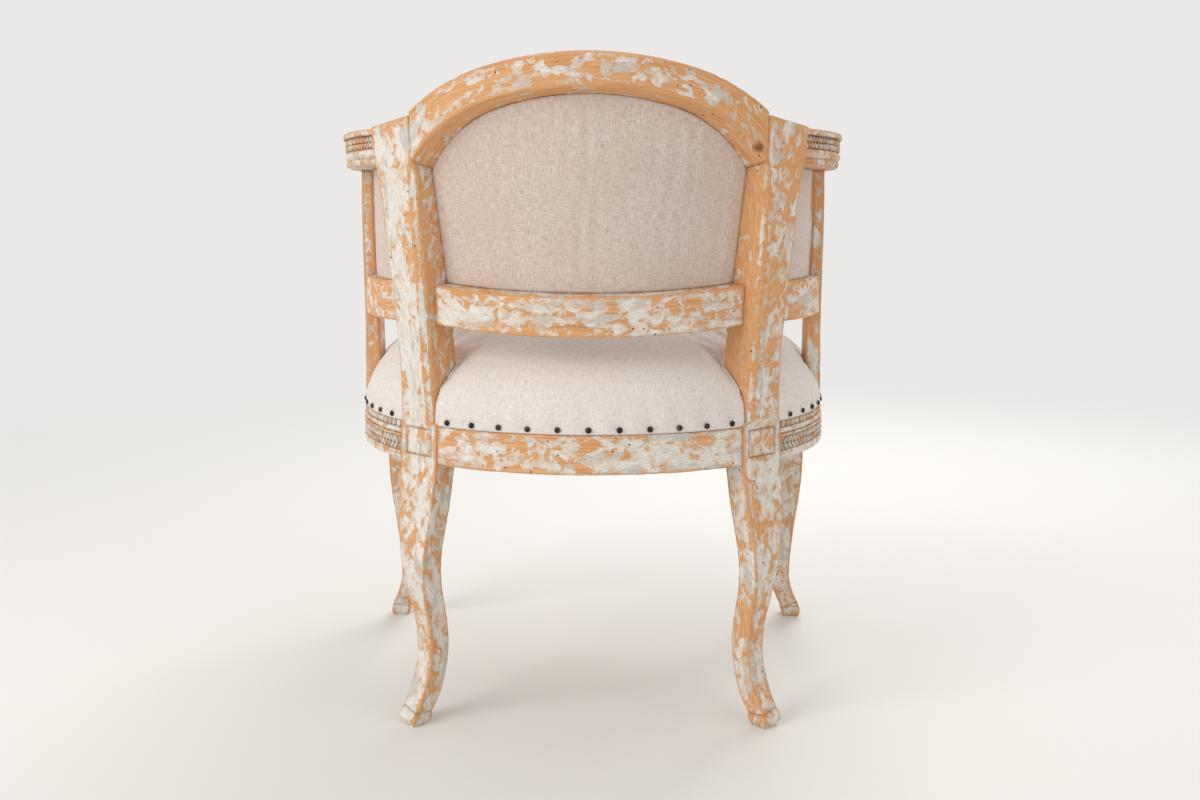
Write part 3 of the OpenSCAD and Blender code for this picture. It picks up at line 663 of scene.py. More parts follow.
front_x = 267
front_r = (front_x ** 2 + front_bow ** 2) / (2 * front_bow)
front_c = front_y - front_bow + front_r
profile, near, shade_mark = carved_profile(front_r)
reach = math.asin(front_x / front_r) * 1.01
rings = both_ways(trimmed(swung(profile, np.linspace(0, reach, 120), front_c, -1),
                          lambda points: front_x - points[:, 0], 0.35, 3.6))
front_rail = rail_piece("carved_front_rail", rings, near, shade_mark, profile, -0.1, 4, 0.4, 0.3)


def ornament(name, places, faces, height):
    """A small carved shape, with painted shade at its base and its top rubbed."""
    mesh = bpy.data.meshes.new(name)
    mesh.from_pydata([tuple(c / 1000 for c in p) for p in places], [], faces)
    up = np.array([p[1] for p in places]) / height
    tag(mesh, "worn", 0.3 * up)
    tag(mesh, "sunk", 0.95 * (1 - np.clip(up * 1.8, 0, 1)))
    return put(name, mesh)


def leaf_pair(length, width, height, lean):
    """Two pointed leaves in a chevron on either side of the band's middle."""
    places, faces = [], []
    across, steps = 6, 7
    for way in (1, -1):
        base = len(places)
        for i in range(steps + 1):
            t = i / steps
            half_wide = 0.5 * width * math.sin(math.pi * min(1, t * 0.93 + 0.07)) ** 0.7 + 0.05
            full = height * math.sin(math.pi * min(1, t * 0.8 + 0.2)) ** 0.5
            for j in range(across + 1):
                s = 2 * j / across - 1
                rise = full * (1 - s * s) ** 0.6 - 0.25 * height * math.exp(-(s / 0.22) ** 2)
                x = t * length * math.cos(lean) - s * half_wide * math.sin(lean)
                z = t * length * math.sin(lean) + s * half_wide * math.cos(lean)
                places.append((x, max(rise, 0) - 0.3, way * (z + 0.2)))
        for i in range(steps):
            for j in range(across):
                a = base + i * (across + 1) + j
                quad = (a, a + 1, a + across + 2, a + across + 1)
                faces.append(quad if way > 0 else quad[::-1])
    return places, faces


def bead(long, tall, height, slant, around, rings_up):
    """A rounded stud or rope strand, leaning by slant over its height."""
    places, faces = [], []
    for k in range(rings_up):
        t = k / rings_up * math.pi / 2
        for i in range(around):
            a = 2 * math.pi * i / around
            z = 0.5 * tall * math.sin(a) * math.cos(t)
            places.append((0.5 * long * math.cos(a) * math.cos(t) + slant * z,
                           height * math.sin(t), z))
    places.append((0, height, 0))
    for k in range(rings_up - 1):
        for i in range(around):
            a, b = k * around + i, k * around + (i + 1) % around
            faces.append((a, a + around, b + around, b))
    top = len(places) - 1
    faces += [((rings_up - 1) * around + i, top, (rings_up - 1) * around + (i + 1) % around)
              for i in range(around)]
    return places, faces


# Geometry Nodes: a row of one carved shape along a line, at a set pitch
rows = bpy.data.node_groups.new("row_along_a_line", "GeometryNodeTree")
for label, kind in (("Line", "NodeSocketGeometry"), ("Shape", "NodeSocketObject"),
                    ("Pitch", "NodeSocketFloat"), ("Uneven", "NodeSocketFloat"),
                    ("Seed", "NodeSocketInt"), ("Finish", "NodeSocketMaterial")):
    rows.interface.new_socket(label, in_out="INPUT", socket_type=kind)
rows.interface.new_socket("Geometry", in_out="OUTPUT", socket_type="NodeSocketGeometry")
given = add(rows, "NodeGroupInput")
curve = add(rows, "GeometryNodeMeshToCurve", {0: given.outputs["Line"]})
spaced = add(rows, "GeometryNodeResampleCurve", {"Curve": curve.outputs[0],
                                                 "Length": given.outputs["Pitch"]}, mode="LENGTH")
ahead = add(rows, "GeometryNodeInputTangent")
turned = add(rows, "FunctionNodeAlignRotationToVector", {"Vector": ahead.outputs[0]}, axis="X")
upright = add(rows, "FunctionNodeAlignRotationToVector",
              {"Rotation": turned.outputs[0], "Vector": (0, 0, 1)}, axis="Z", pivot_axis="X")
shape = add(rows, "GeometryNodeObjectInfo", {"Object": given.outputs["Shape"]})
least = calc(rows, "SUBTRACT", 1.0, given.outputs["Uneven"])
most = calc(rows, "ADD", 1.0, given.outputs["Uneven"])
sizes = add(rows, "FunctionNodeRandomValue", {2: least, 3: most, "Seed": given.outputs["Seed"]},
            data_type="FLOAT")
placed = add(rows, "GeometryNodeInstanceOnPoints",
             {"Points": spaced.outputs[0], "Instance": shape.outputs["Geometry"],
              "Rotation": upright.outputs[0], "Scale": sizes.outputs[1]})
real = add(rows, "GeometryNodeRealizeInstances", {0: placed.outputs[0]})
where = add(rows, "GeometryNodeInputPosition")
tagged = add(rows, "GeometryNodeStoreNamedAttribute",
             {"Geometry": real.outputs[0], "Name": "grain", "Value": where.outputs[0]},
             data_type="FLOAT_VECTOR", domain="POINT")
coated = add(rows, "GeometryNodeSetMaterial", {"Geometry": tagged.outputs[0],
                                               "Material": given.outputs["Finish"]})
add(rows, "NodeGroupOutput", {0: coated.outputs[0]})


def row_of(name, line, shape_piece, pitch, finish, uneven, seed):
    """The row along a line of places in millimetres, as a plain mesh piece."""
    mesh = bpy.data.meshes.new(name + "_line")
    places = (np.array(line, float) + (0, y_shift, 0)) / 1000
    mesh.from_pydata(places.tolist(), [(i, i + 1) for i in range(len(places) - 1)], [])
    holder = put(name + "_line", mesh)
    row = holder.modifiers.new("row", "NODES")
    row.node_group = rows
    sockets = {item.name: item.identifier for item in rows.interface.items_tree
               if item.item_type == "SOCKET" and item.in_out == "INPUT"}
    for label, value in (("Shape", shape_piece), ("Pitch", pitch / 1000), ("Uneven", uneven),
                         ("Seed", seed), ("Finish", finish)):
        row[sockets[label]] = value
    bpy.context.view_layer.update()
    result = as_shown(holder)
    bpy.data.objects.remove(holder)
    result.name = name
    result.shade_smooth()
    return put(name, result)


def joined(piece, *carvings):
    """One piece of the rail and the carving that is cut in it."""
    for carving in carvings:
        carving.data.materials.clear()
    with bpy.context.temp_override(active_object=piece, object=piece,
                                   selected_editable_objects=[piece, *carvings]):
        bpy.ops.object.join()
    return piece


leaf_seat = ornament("leaf_seat", *leaf_pair(13.5, 4.9, 3.2, math.radians(37)), 2.9)
dentil = ornament("dentil", *bead(9.5, 8.6, 3.4, 0.0, 12, 3), 3.4)


def rail_line(out, up):
    """A line on the side rail's face, from the rear block to the front leg."""
    start = math.degrees(post_az) + 8.0
    arc = [(*on_circle(out, a), up) for a in np.radians(np.arange(start, 90, 1.0))]
    return arc + [(out, -d, up) for d in np.arange(0, 141, 4.0)]


leaves = row_of("leaves", rail_line(seat_r - 3.2, rail_z + 18), leaf_seat, 9.0, paint, 0.08, 3)
teeth = row_of("teeth", rail_line(seat_r - 4.8, rail_z + 41.7), dentil, 11.5, paint, 0.05, 4)
settle_both(joined(side_rail, leaves, teeth), "seat_rail", 0.1)


def bow_line(out, up, half_run):
    """A line on the front rail's face, from its right end to its left end."""
    return [(-x, front_c - math.sqrt((front_r - out) ** 2 - x * x), up)
            for x in np.arange(-half_run, half_run + 1, 6.0)]


leaves = row_of("leaves", bow_line(3.2, rail_z + 18, 258), leaf_seat, 9.0, paint, 0.08, 5)
teeth = row_of("teeth", bow_line(4.8, rail_z + 41.7, 258), dentil, 11.5, paint, 0.05, 6)
joined(front_rail, leaves, teeth)
settle(front_rail, "painted_pine", paint, "seat_rail_front")

# ---------------------------------------------------------------- front legs
# Squared blocks over curved legs that sweep out to the corner and end in a
# small pad. The faces are spokeshaved, so their arrises are soft.

FRONT = [(0.00, 8.5, 27), (0.05, 6, 28), (0.11, -6.4, 28), (0.21, -17.8, 27.4),
         (0.40, -12.3, 30), (0.65, 0.3, 38), (0.81, 0.5, 44), (1.00, 0, 45)]
front_block = 45
rings, worn, sunk = [], [], []
for z in (foot + list(np.arange(foot_top + 1, rail_z, 3.6)) + block_heights[:-1]
          + [cover_z + 2, rail_top - 2, rail_top]):
    q = smooth(FRONT, min(z / rail_z, 1.0))
    h, d = q[2] / 2, q[1] / math.sqrt(2)
    cx, cy = seat_r - front_block / 2 + d, front_y + front_block / 2 - d
    step_in = 5 if z > cover_z else 0
    corners = np.array([(cx - h, cy - h + step_in), (cx + h - step_in, cy - h + step_in),
                        (cx + h - step_in, cy + h), (cx - h, cy + h)], float)
    flat_ring, near = eased(corners, [even(14)] * 4, 2.4)
    x, y = flat_ring[:, 0] - cx, flat_ring[:, 1] - cy
    pull, shade_mark = np.zeros(len(x)), np.zeros(len(x))
    if z < foot_top:
        pull, shade_mark = foot_cut(z, 17 + 0.12 * (x - y), 3.0)
    if rail_z < z < cover_z:
        for face, along_face in ((y < -h + 0.6, x), (x > h - 0.6, y)):
            groove = panel_line(z, np.abs(along_face) - 14) * face
            pull += 1.6 * groove
            # the sunk lines round the block's panels are also darkened with painted shade
            shade_mark += 0.7 * groove
    toward = -np.column_stack([x, y])
    toward /= np.linalg.norm(toward, axis=1, keepdims=True)
    flat_ring = flat_ring + toward * pull[:, None]
    rings.append(np.column_stack([flat_ring, np.full(len(x), z)]))
    worn.append(near * 0.9 + 0.08)
    sunk.append(shade_mark)
rings, worn, sunk = np.array(rings), np.array(worn), np.array(sunk)
front_leg = skin("front_leg_left", weathered(rings, worn, 5), worn, sunk, rings + (900, 0, 0))
settle_both(front_leg, "front_leg")

# ---------------------------------------------------------------- crest rail
# A curved, arched top rail bandsawn from thick pine, with a chamfer left
# under its rear edge. It is tenoned between the stiles, and its joints and a
# knot have opened as the wood dried.

back_h, crest_h, crest_fall = 786, 39, 80
crest_r, crest_t, crest_c = 330, 47, -10
crest_w = (back_h - lean_z + (crest_r + crest_c) * math.sin(rake)) / math.cos(rake)


def arch_fall(x, r1, x1, r2):
    """Fall of a two-arc arch at x: radius r1 out to x1, then r2."""
    q, a = abs(x), math.asin(x1 / r1)
    if q <= x1:
        return r1 - math.sqrt(r1 * r1 - q * q)
    outer = math.sqrt(r2 ** 2 - (q - x1 + r2 * math.sin(a)) ** 2)
    return r1 * (1 - math.cos(a)) + r2 * math.cos(a) - outer


def leaned(points):
    """Leans a shape drawn upright back by the rake, about the seat's axis."""
    x, y, z = points[..., 0], points[..., 1], points[..., 2]
    return np.stack([x, y * math.cos(rake) + z * math.sin(rake),
                     lean_z + z * math.cos(rake) - y * math.sin(rake)], -1)


def crest_corners(a):
    """The crest's section at an angle round the back."""
    x, b = crest_r * math.sin(a), crest_r - crest_t
    top = crest_w - arch_fall(x, 380, 120, 235) * crest_fall / 80
    low = crest_w - crest_h - arch_fall(min(abs(x), 214), 380, 100, 180) * crest_fall / 80
    front = low - 17 - 5 * min(1, abs(x) / 120)
    level = crest_t * math.tan(rake)
    return np.array([(b, front), (crest_r - 12, low - 6.5), (crest_r, low), (crest_r, top),
                     (b, top - level)], float)


def outside_joint(points):
    """Distance from the sawn joint between the crest rail and the stile."""
    joint_x = 5.6 + lean_t * (stile_top - 55 - lean_z)
    return np.minimum(outside_stile(points), joint_x - to_block(points)[:, 0])


lines = []
shares = [even(14), even(4), even(17), even(16), even(16)]
for a in np.radians(np.arange(0, 44, 0.25)):
    profile, near = eased(crest_corners(a), shares, 2.5)
    lines.append(leaned(swung(profile, [a], crest_c)[0]))
rings = both_ways(trimmed(np.stack(lines), outside_joint, 1.2, 2.8))
profile, near = eased(crest_corners(0), shares, 2.5)
rub = near * 0.85
rub[20:27] += 0.16
rub[:20] += 0.2
crest = rail_piece("crest_rail", rings, rub, near * 0, profile, 0.53, 6, 1.6, 0.3)

# the knot has fallen out near the right joint, low on the rear face; its hole is dented and darkened
# with painted shade
knot_a = math.radians(-36.2)
knot_low = crest_corners(knot_a)[2, 1] + 3
knot = leaned(np.array([*on_circle(crest_r, knot_a, crest_c), knot_low]))
knot = Vector(knot + (0, y_shift, 0)) / 1000
shade_mark = crest.data.attributes["sunk"].data
for v in crest.data.vertices:
    off = v.co - knot
    reach = math.hypot(off.x / 0.0062, off.y / 0.0062, off.z / 0.0046)
    if reach < 2.5:
        v.co.y -= 0.006 * math.exp(-reach ** 4)
        shade_mark[v.index].value = 1.2 * math.exp(-(reach / 1.25) ** 4)
crest.data.update()
settle(crest, "painted_pine", paint, "crest_rail")

# ------------------------------------------------------ lower rails of the back
# Plain curved rails that carry the lower edge of the back's and the sides'
# linen, with rubbed top edges and one long drying crack in the rear one,
# painted as a thin line of shade with no gap cut.

back_rail_z, low_rail_h, low_rail_t = 154, 48, 28
back_rail_r, back_rail_c = 300, -4
side_rail_r, side_c, side_rail_z = seat_r - 4, 8, lean_z + 116
post_y, post_d, post_out = 70, 40, seat_r - 9


def bar_corners(r, thick, z0, z1):
    """A plain rail's section."""
    return np.array([(r - thick, z1), (r - thick, z0), (r, z0), (r, z1)], float)


profile, near = eased(bar_corners(back_rail_r, low_rail_t, back_rail_z, back_rail_z + low_rail_h),
                      [even(12), even(8), even(30), even(8)], 1.8)
lines = leaned(swung(profile, angles, back_rail_c))
rings = both_ways(trimmed(lines, outside_stile, 0.4, 3.0))
x_mid = rings.mean(axis=1)[:, :1]
crack_shade = np.exp(-((profile[:, 1] - back_rail_z - 13 - 1.2 * np.sin(x_mid / 11)) / 0.9) ** 2)
crack_shade = crack_shade * (profile[:, 0] > back_rail_r - 0.5)
crack_shade = crack_shade * np.clip(1.2 - np.abs(x_mid - 16) / 38, 0, 1)
back_low = rail_piece("lower_back_rail", rings, near * 0.8, crack_shade, profile, 0.17, 7)
settle(back_low, "painted_pine", paint, "back_lower_rail")

profile, near = eased(bar_corners(side_rail_r, low_rail_t - 4, side_rail_z,
                                  side_rail_z + low_rail_h + 2),
                      [even(12), even(7), even(16), even(7)], 1.8)
lines = swung(profile, np.radians(np.arange(84, 40, -0.25)), side_c)
lines = trimmed(lines, outside_stile, 0.4, 1.2)[::-1]
lines = trimmed(lines, lambda points: points[:, 1] - post_y, 0.2, 3.0)
side_low = rail_piece("lower_side_rail_left", lines, near * 0.8, near * 0, profile, 0.12, 8)
settle_both(side_low, "side_lower_rail")

# ---------------------------------------------------------- arm posts and arms
# Slim posts tenoned into the side rails carry curved arms, each carved along
# its edge with a rope bead, a torus, laurel leaves and a plain top fillet.

arm_z, arm_h, arm_w, arm_r, arm_back, arm_end, knob = 711, 44, 40, 332, 39, 104, 1.5
arm_under, arm_mid = arm_z - arm_h, arm_r - arm_w / 2
POST = [(0.00, 21, 0), (0.35, 19, 1), (0.75, 16, 5), (1.00, 16, 6)]
rings, worn = [], []
for z in np.arange(rail_top, arm_under + 0.1, 4.0):
    q = smooth(POST, min((z - rail_top) / (arm_under - rail_top), 1.0))
    x = post_out + q[2]
    flat_ring, near = eased(np.array([(x - q[1], post_y - post_d), (x, post_y - post_d),
                                      (x, post_y), (x - q[1], post_y)], float),
                            [even(6), even(12), even(6), even(12)])
    rings.append(np.column_stack([flat_ring, np.full(len(flat_ring), z)]))
    worn.append(near * 0.9 + 0.42)
rings, worn = np.array(rings), np.array(worn)
post = skin("arm_post_left", weathered(rings, worn, 9), worn, worn * 0, rings + (1300, 0, 0))
settle_both(post, "arm_post")

# outline of the arm's moulded edge, from the underside up
ARM_EDGE = [(-9.0, 0), (-7.6, 0.5), (-6.9, 1.6), (-7.4, 2.6), (-7.4, 8.6), (-6.4, 9.4), (-4.6, 10.4),
            (-3.2, 11.8), (-2.3, 13.6), (-2.0, 15.4), (-2.4, 17.2), (-3.3, 18.6), (-4.6, 19.4),
            (-5.6, 19.9), (-5.6, 36.4), (-2.6, 36.8), (-0.8, 37.1), (-0.2, 37.8), (0, 39), (0, 42),
            (-0.4, 43.2), (-1.5, 44)]


def arm_start(r):
    """The angle at which a circle of the arm's plan leaves the stile."""
    for a in np.radians(np.arange(40, 80, 0.1)):
        place = np.array([[*on_circle(r, a, arm_back), arm_z - 20]])
        if outside_stile(place)[0] > 0.4 and to_block(place)[0, 0] > stile_out - 4:
            return a
    return math.radians(60)


end_a = math.radians(arm_end)
end_centre = on_circle(arm_mid, end_a, arm_back)
start_out, start_in = arm_start(arm_r - 2), arm_start(arm_r - arm_w)
outer_steps, end_steps, inner_steps, butt_steps = 120, 30, 70, 14


def on_round_end(out, t):
    """A place round the arm's end, swelling a little into a knob."""
    swell = arm_w / 2 + out * (1 - t / math.pi) + knob * math.sin(t)
    return (end_centre[0] + swell * math.sin(end_a + t),
            end_centre[1] + swell * math.cos(end_a + t))


def arm_loop(out, share):
    """One level of the arm's plan, out from its line, drawn in to its middle by share."""
    outer = np.linspace(start_out, end_a, outer_steps)
    inner = np.linspace(end_a, start_in, inner_steps)
    turns = np.linspace(0, math.pi, end_steps + 1)[1:-1]
    places = [on_circle(arm_r + out, a, arm_back) for a in outer]
    places += [on_round_end(out, t) for t in turns]
    places += [on_circle(arm_r - arm_w, a, arm_back) for a in inner]
    first, last = np.array(places[0]), np.array(places[-1])
    places += [tuple(last + (first - last) * t) for t in even(butt_steps)]
    spine = ([on_circle(arm_mid, a, arm_back) for a in outer] + [end_centre] * len(turns)
             + [on_circle(arm_mid, a, arm_back) for a in inner]
             + [on_circle(arm_mid, (start_in + start_out) / 2, arm_back)] * butt_steps)
    places, spine = np.array(places), np.array(spine)
    return spine + (places - spine) * share


levels = [(ARM_EDGE[0][0], 0.0, s) for s in (0.0, 0.35, 0.7, 0.93)]
levels += [(dx, dz, 1.0) for dx, dz in ARM_EDGE]
levels += [(ARM_EDGE[-1][0], arm_h, s) for s in (0.93, 0.7, 0.35, 0.0)]
rings, worn, sunk = [], [], []
for out, up, share in levels:
    loop = arm_loop(out, share)
    rings.append(np.column_stack([loop, np.full(len(loop), arm_under + up)]))
    edge_rub = 0.75 * math.exp(-(arm_h - up) / 2.2) * (share > 0.9)
    edge_rub += 0.35 * math.exp(-((up - 1.6) / 1.6) ** 2)
    worn.append(np.full(len(loop), edge_rub + 0.04))
    # the moulding's hollows are darkened with painted shade
    deep_shade = 0.95 * (19.6 < up < 36.6) + 0.9 * (2.2 < up < 9) + 0.5 * (abs(up - 37) < 0.4)
    moulded = np.arange(len(loop)) < outer_steps + end_steps
    sunk.append(moulded * deep_shade * (share == 1.0))
rings, worn, sunk = np.array(rings), np.array(worn), np.array(sunk)
x, y = rings[..., 0], rings[..., 1] - arm_back
grain = np.stack([np.hypot(x, y), rings[..., 2], arm_r * np.arctan2(x, y)], -1)
arm = skin("arm_left", rings, worn, sunk, grain, caps=False)


def arm_line(out, up):
    """A line round the arm's edge, from the stile to the back of its round end."""
    first = start_out + math.radians(1.2)
    arc = [on_circle(arm_r + out, a, arm_back) for a in np.linspace(first, end_a, 40)]
    arc += [on_round_end(out, t) for t in np.linspace(0, math.pi * 0.75, 14)[1:]]
    return [(*place, arm_under + up) for place in arc]


leaf_arm = ornament("leaf_arm", *leaf_pair(12.6, 4.6, 3.8, math.radians(37)), 3.5)
strand = ornament("strand", *bead(4.6, 9.4, 3.0, 0.55, 8, 3), 3.0)
leaves = row_of("leaves", arm_line(-5.8, 28.2), leaf_arm, 8.4, paint, 0.08, 7)
rope = row_of("rope", arm_line(-7.6, 5.6), strand, 4.9, paint, 0.05, 8)
settle_both(joined(arm, leaves, rope), "arm", 0.12)
for spare in (leaf_seat, leaf_arm, dentil, strand):
    bpy.data.objects.remove(spare)

# ------------------------------------------------------------- corner blocks
# Rough offcuts of unpainted pine, glued and screwed inside the seat frame.
# Sawn pine gives the eye broad growth rings and a dry, open face.

bare, tree, shader = material("sawn_bare_pine", Roughness=0.8)
spot = add(tree, "ShaderNodeTexCoord").outputs["Object"]
growth = stretched_noise(tree, spot, (60, 60, 3.5), 4, warp=0.5)
wood = mixed(tree, spread(tree, growth, 0.35, 0.65), "#9C6A38", "#CE9A5E")
tree.links.new(wood, shader.inputs["Base Color"])
emboss(tree, shader, growth, 0.0008, 0.6)
for place in ("rear_left", "rear_right", "front_left", "front_right"):
    coat(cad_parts["corner_block_" + place], bare)

# ------------------------------------------------------- webbing and hessian
# Jute webbing strained across the frame, and coarse hessian over it. Twisted
# jute gives a brown, hairy weave. The threads are drawn about twice as wide
# as real ones, 2.4 mm apart, so that they show.

weaves = {}
for name, light, dark_tone, pitch in (("jute_webbing", "#C0A273", "#8A6E45", 2.4),
                                      ("jute_hessian", "#B59A6C", "#84693F", 2.8)):
    weaves[name], tree, shader = material(name, Roughness=0.9)
    spot = add(tree, "ShaderNodeTexCoord").outputs["Object"]
    warp_thread, weft_thread = [
        add(tree, "ShaderNodeTexWave", {"Vector": spot, "Scale": 1000 / pitch / 20,
                                        "Distortion": 0.6, "Detail": 1},
            bands_direction=axis).outputs["Fac"] for axis in ("X", "Y")]
    hairs = add(tree, "ShaderNodeTexNoise", {"Vector": spot, "Scale": 1000 / 5, "Detail": 4})
    woven = calc(tree, "MULTIPLY", calc(tree, "MULTIPLY", warp_thread, weft_thread),
                 hairs.outputs[0])
    tree.links.new(mixed(tree, woven, dark_tone, light), shader.inputs["Base Color"])
    emboss(tree, shader, woven, 0.001)
for node_name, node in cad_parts.items():
    if node_name.startswith("webbing"):
        coat(node, weaves["jute_webbing"])
coat(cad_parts["seat_hessian"], weaves["jute_hessian"])

# ------------------------------------------------------------------ stuffing
# Curled hair and fibre heaped on the hessian and stitched into a dome. These
# are its heights; its surface follows the cover's rings and is made after them.

seat_rise, dome_z, roll, seat_mid = 97, rail_top - 2, 4.5, np.array([0.0, -20.0])
cover_r = seat_r - 2.7


def seat_plan(grow):
    """The seat's outline: round at the back, straight at the sides, bowed front."""
    r = cover_r + grow
    arc = [on_circle(r, a) for a in np.radians(np.arange(0, 90.1, 0.5))]
    arc += [(r, -d) for d in np.arange(3, -front_y, 3.0)]
    front = [(x, front_y + seat_r - r - front_bow * (1 - (x / front_x) ** 2)
              if x < front_x else front_y + seat_r - r) for x in np.arange(r, -1, -4.0)]
    half_plan = np.array(arc + front)
    return np.concatenate([half_plan, half_plan[::-1] * (-1, 1)])


outline = seat_plan(0) - seat_mid
outline_angle = np.arctan2(outline[:, 0], outline[:, 1])
order = np.argsort(outline_angle)
outline_angle, outline_reach = outline_angle[order], np.linalg.norm(outline, axis=1)[order]


def outline_at(turn):
    """How far the seat's outline is from its middle in each direction."""
    return np.interp(turn, outline_angle, outline_reach, period=2 * math.pi)


def dome_height(places, drop=0.0):
    """Height of the stuffed seat over places in plan."""
    rel = places - seat_mid
    reach_here = outline_at(np.arctan2(rel[:, 0], rel[:, 1]))
    rho = np.clip(np.linalg.norm(rel, axis=1) / reach_here, 0, 1)
    return dome_z + (seat_rise - drop) * np.sqrt(np.maximum(1 - rho ** roll, 0))


def push_clear(places, room):
    """Moves places in plan out of the rear uprights, by the shortest way."""
    out = places.copy()
    for way in (1, -1):
        local = to_block(np.column_stack([out * (way, 1), np.zeros(len(out))]))
        x, y = local[:, 0], local[:, 1]
        inside = (x > -room) & (x < block_w + room) & (y > -stile_t - room)
        left, right, ahead_of = x + room, block_w + room - x, y + stile_t + room
        nearest = np.argmin(np.stack([left, right, ahead_of]), axis=0)
        x = np.where(inside & (nearest == 0), -room, x)
        x = np.where(inside & (nearest == 1), block_w + room, x)
        y = np.where(inside & (nearest == 2), -stile_t - room, y)
        moved = corner + x[:, None] * t_dir + y[:, None] * n_dir
        out = np.where(inside[:, None], moved * (way, 1), out)
    return out


# ---------------------------------------------------------------- seat cover
# Heavy natural linen pulled over the stuffing, cut round the uprights, turned
# down over the rails and nailed. It is the seat's upholstery with its filling.

room = 0.8
around = [np.array(on_circle(cover_r, a)) for a in np.radians(np.arange(0, 90.1, 0.9))]
along_block = to_block(np.column_stack([around, np.zeros(len(around))]))[:, 0]
before = [place for place, d in zip(around, along_block) if d <= -room]
after = [place for place, d in zip(around, along_block) if d >= block_w + room]
inner_side = [corner - t_dir * room + n_dir * d for d in np.arange(-3.5, -stile_t - room, -4.5)]
across = [corner + t_dir * d - n_dir * (stile_t + room)
          for d in np.arange(-room, block_w + room + 0.1, 4.5)]
outer_side = [corner + t_dir * (block_w + room) + n_dir * d
              for d in np.arange(-stile_t - room, -3, 4.5)]
ahead = [np.array([cover_r, -d]) for d in np.arange(4, -front_y - 1, 4.5)]
notched = []
for way in (1, -1):
    bow = [np.array([x, front_y + seat_r - cover_r
                     - (front_bow * (1 - (x / front_x) ** 2) if x < front_x else 0)])
           for x in np.arange(cover_r, 1 if way > 0 else -1, -4.5)]
    path = before + inner_side + across + outer_side + after + ahead + bow
    notched.append(np.array(path) * (way, 1))
rim = np.concatenate([notched[0], notched[1][::-1][:-1]])
is_cut = np.array([abs(np.linalg.norm(p) - cover_r) > 2 and p[1] > 60 for p in rim])

# the rows of points run from the cut edges to an even oval, then to the middle
oval_share = 0.72
turns = np.unwrap(np.arctan2(*(rim - seat_mid).T))
half_mean = 26
lap = 2 * math.pi if turns[-1] > turns[0] else -2 * math.pi
ends = np.concatenate([turns[-half_mean:] - lap, turns, turns[:half_mean] + lap])
turns = np.convolve(ends, np.ones(2 * half_mean + 1) / (2 * half_mean + 1), mode="valid")
oval = oval_share * outline_at(turns)[:, None]
oval = seat_mid + oval * np.column_stack([np.sin(turns), np.cos(turns)])


def plan_ring(q):
    """Plan of the cover's ring at a share q of the way out to its edges."""
    if q < oval_share:
        return seat_mid + (oval - seat_mid) * q / oval_share
    return oval + (rim - oval) * (q - oval_share) / (1 - oval_share)


cover_rings = []
shares_in = [1 - (1 - k / 44) ** 1.7 for k in range(1, 45)]
skirt = len(shares_in)
for q in shares_in:
    places = push_clear(plan_ring(q), room)
    cover_rings.append(np.column_stack([places, dome_height(places)]))
edge_top = cover_rings[-1]
drop = np.where(is_cut, 16.0, np.maximum(edge_top[:, 2] - cover_z - 0.5, 1.0))
for t in np.linspace(0, 1, 9)[1:]:
    ring = edge_top.copy()
    ring[:, 2] -= drop * t
    cover_rings.append(ring)
cover_rings = np.array(cover_rings)

# above the rails the uprights lean and narrow, so the cut edges follow them
flare_up = np.arange(0, 130, 4.0)
flare_out = [smooth(FLARE, d / (stile_top - lean_z))[1] for d in flare_up]
for way in (1, -1):
    local = to_block(cover_rings * (way, 1, 1))
    x, y, up = local[..., 0], local[..., 1], np.maximum(local[..., 2] - lean_z, 0)
    off = np.maximum(np.maximum(-x, x - block_w), -stile_t - y) - room
    close = np.exp(-(np.maximum(off, 0) / 20) ** 2) * (cover_rings[..., 0] * way > 0)
    outer = np.clip(x / block_w, 0, 1)
    outer_face = stile_out + 0.4 - block_w + np.interp(up, flare_up, flare_out)
    aside = (1 - outer) * (5.2 + lean_t * up) + outer * outer_face
    back = (1.6 + lean_n * up) * np.clip(-y / stile_t, 0, 1)
    moved = (aside * close)[..., None] * t_dir + (back * close)[..., None] * n_dir
    cover_rings[..., :2] += moved * (way, 1)
edge_was = cover_rings[skirt - 1, :, 2].copy()
for ring in cover_rings[:skirt]:
    ring[:, 2] = dome_height(ring[:, :2])
cover_rings[skirt:, :, 2] += np.where(is_cut, cover_rings[skirt - 1, :, 2] - edge_was, 0)


def linen(name, light, dark_tone, thread_dark):
    """Plain-woven flax cloth. Its eye-catching facts are the cross of slubby
    threads, dull surface and darker knots. Threads are drawn 1.5 mm wide, twice
    their real width, so that they show."""
    cloth, tree, shader = material(name, Roughness=0.88, Specular_IOR_Level=0.25,
                                   Sheen_Weight=0.15, Sheen_Roughness=0.6)
    spot = add(tree, "ShaderNodeAttribute", attribute_name="cloth").outputs["Vector"]
    warp, weft, slub, blotch = [
        stretched_noise(tree, spot, (across, along_thread, 1000), detail)
        for across, along_thread, detail in ((1.5, 9, 2), (9, 1.5, 2), (2.0, 9, 1), (90, 90, 2))]
    crossed = calc(tree, "ADD", warp, weft)
    tint = mixed(tree, spread(tree, crossed, 0.7, 1.3), dark_tone, light)
    tint = mixed(tree, spread(tree, slub, 0.66, 0.74, 0, 0.55), tint, thread_dark)
    tint = mixed(tree, spread(tree, blotch, 0.4, 0.7, 0, 0.3), tint, dark_tone)
    tree.links.new(tint, shader.inputs["Base Color"])
    emboss(tree, shader, crossed, 0.0008, 0.55)
    return cloth


def thicken(piece, thickness):
    """Gives a sheet its thickness in metres, inwards from its face."""
    mod = piece.modifiers.new("thickness", "SOLIDIFY")
    mod.thickness, mod.offset = thickness, -1


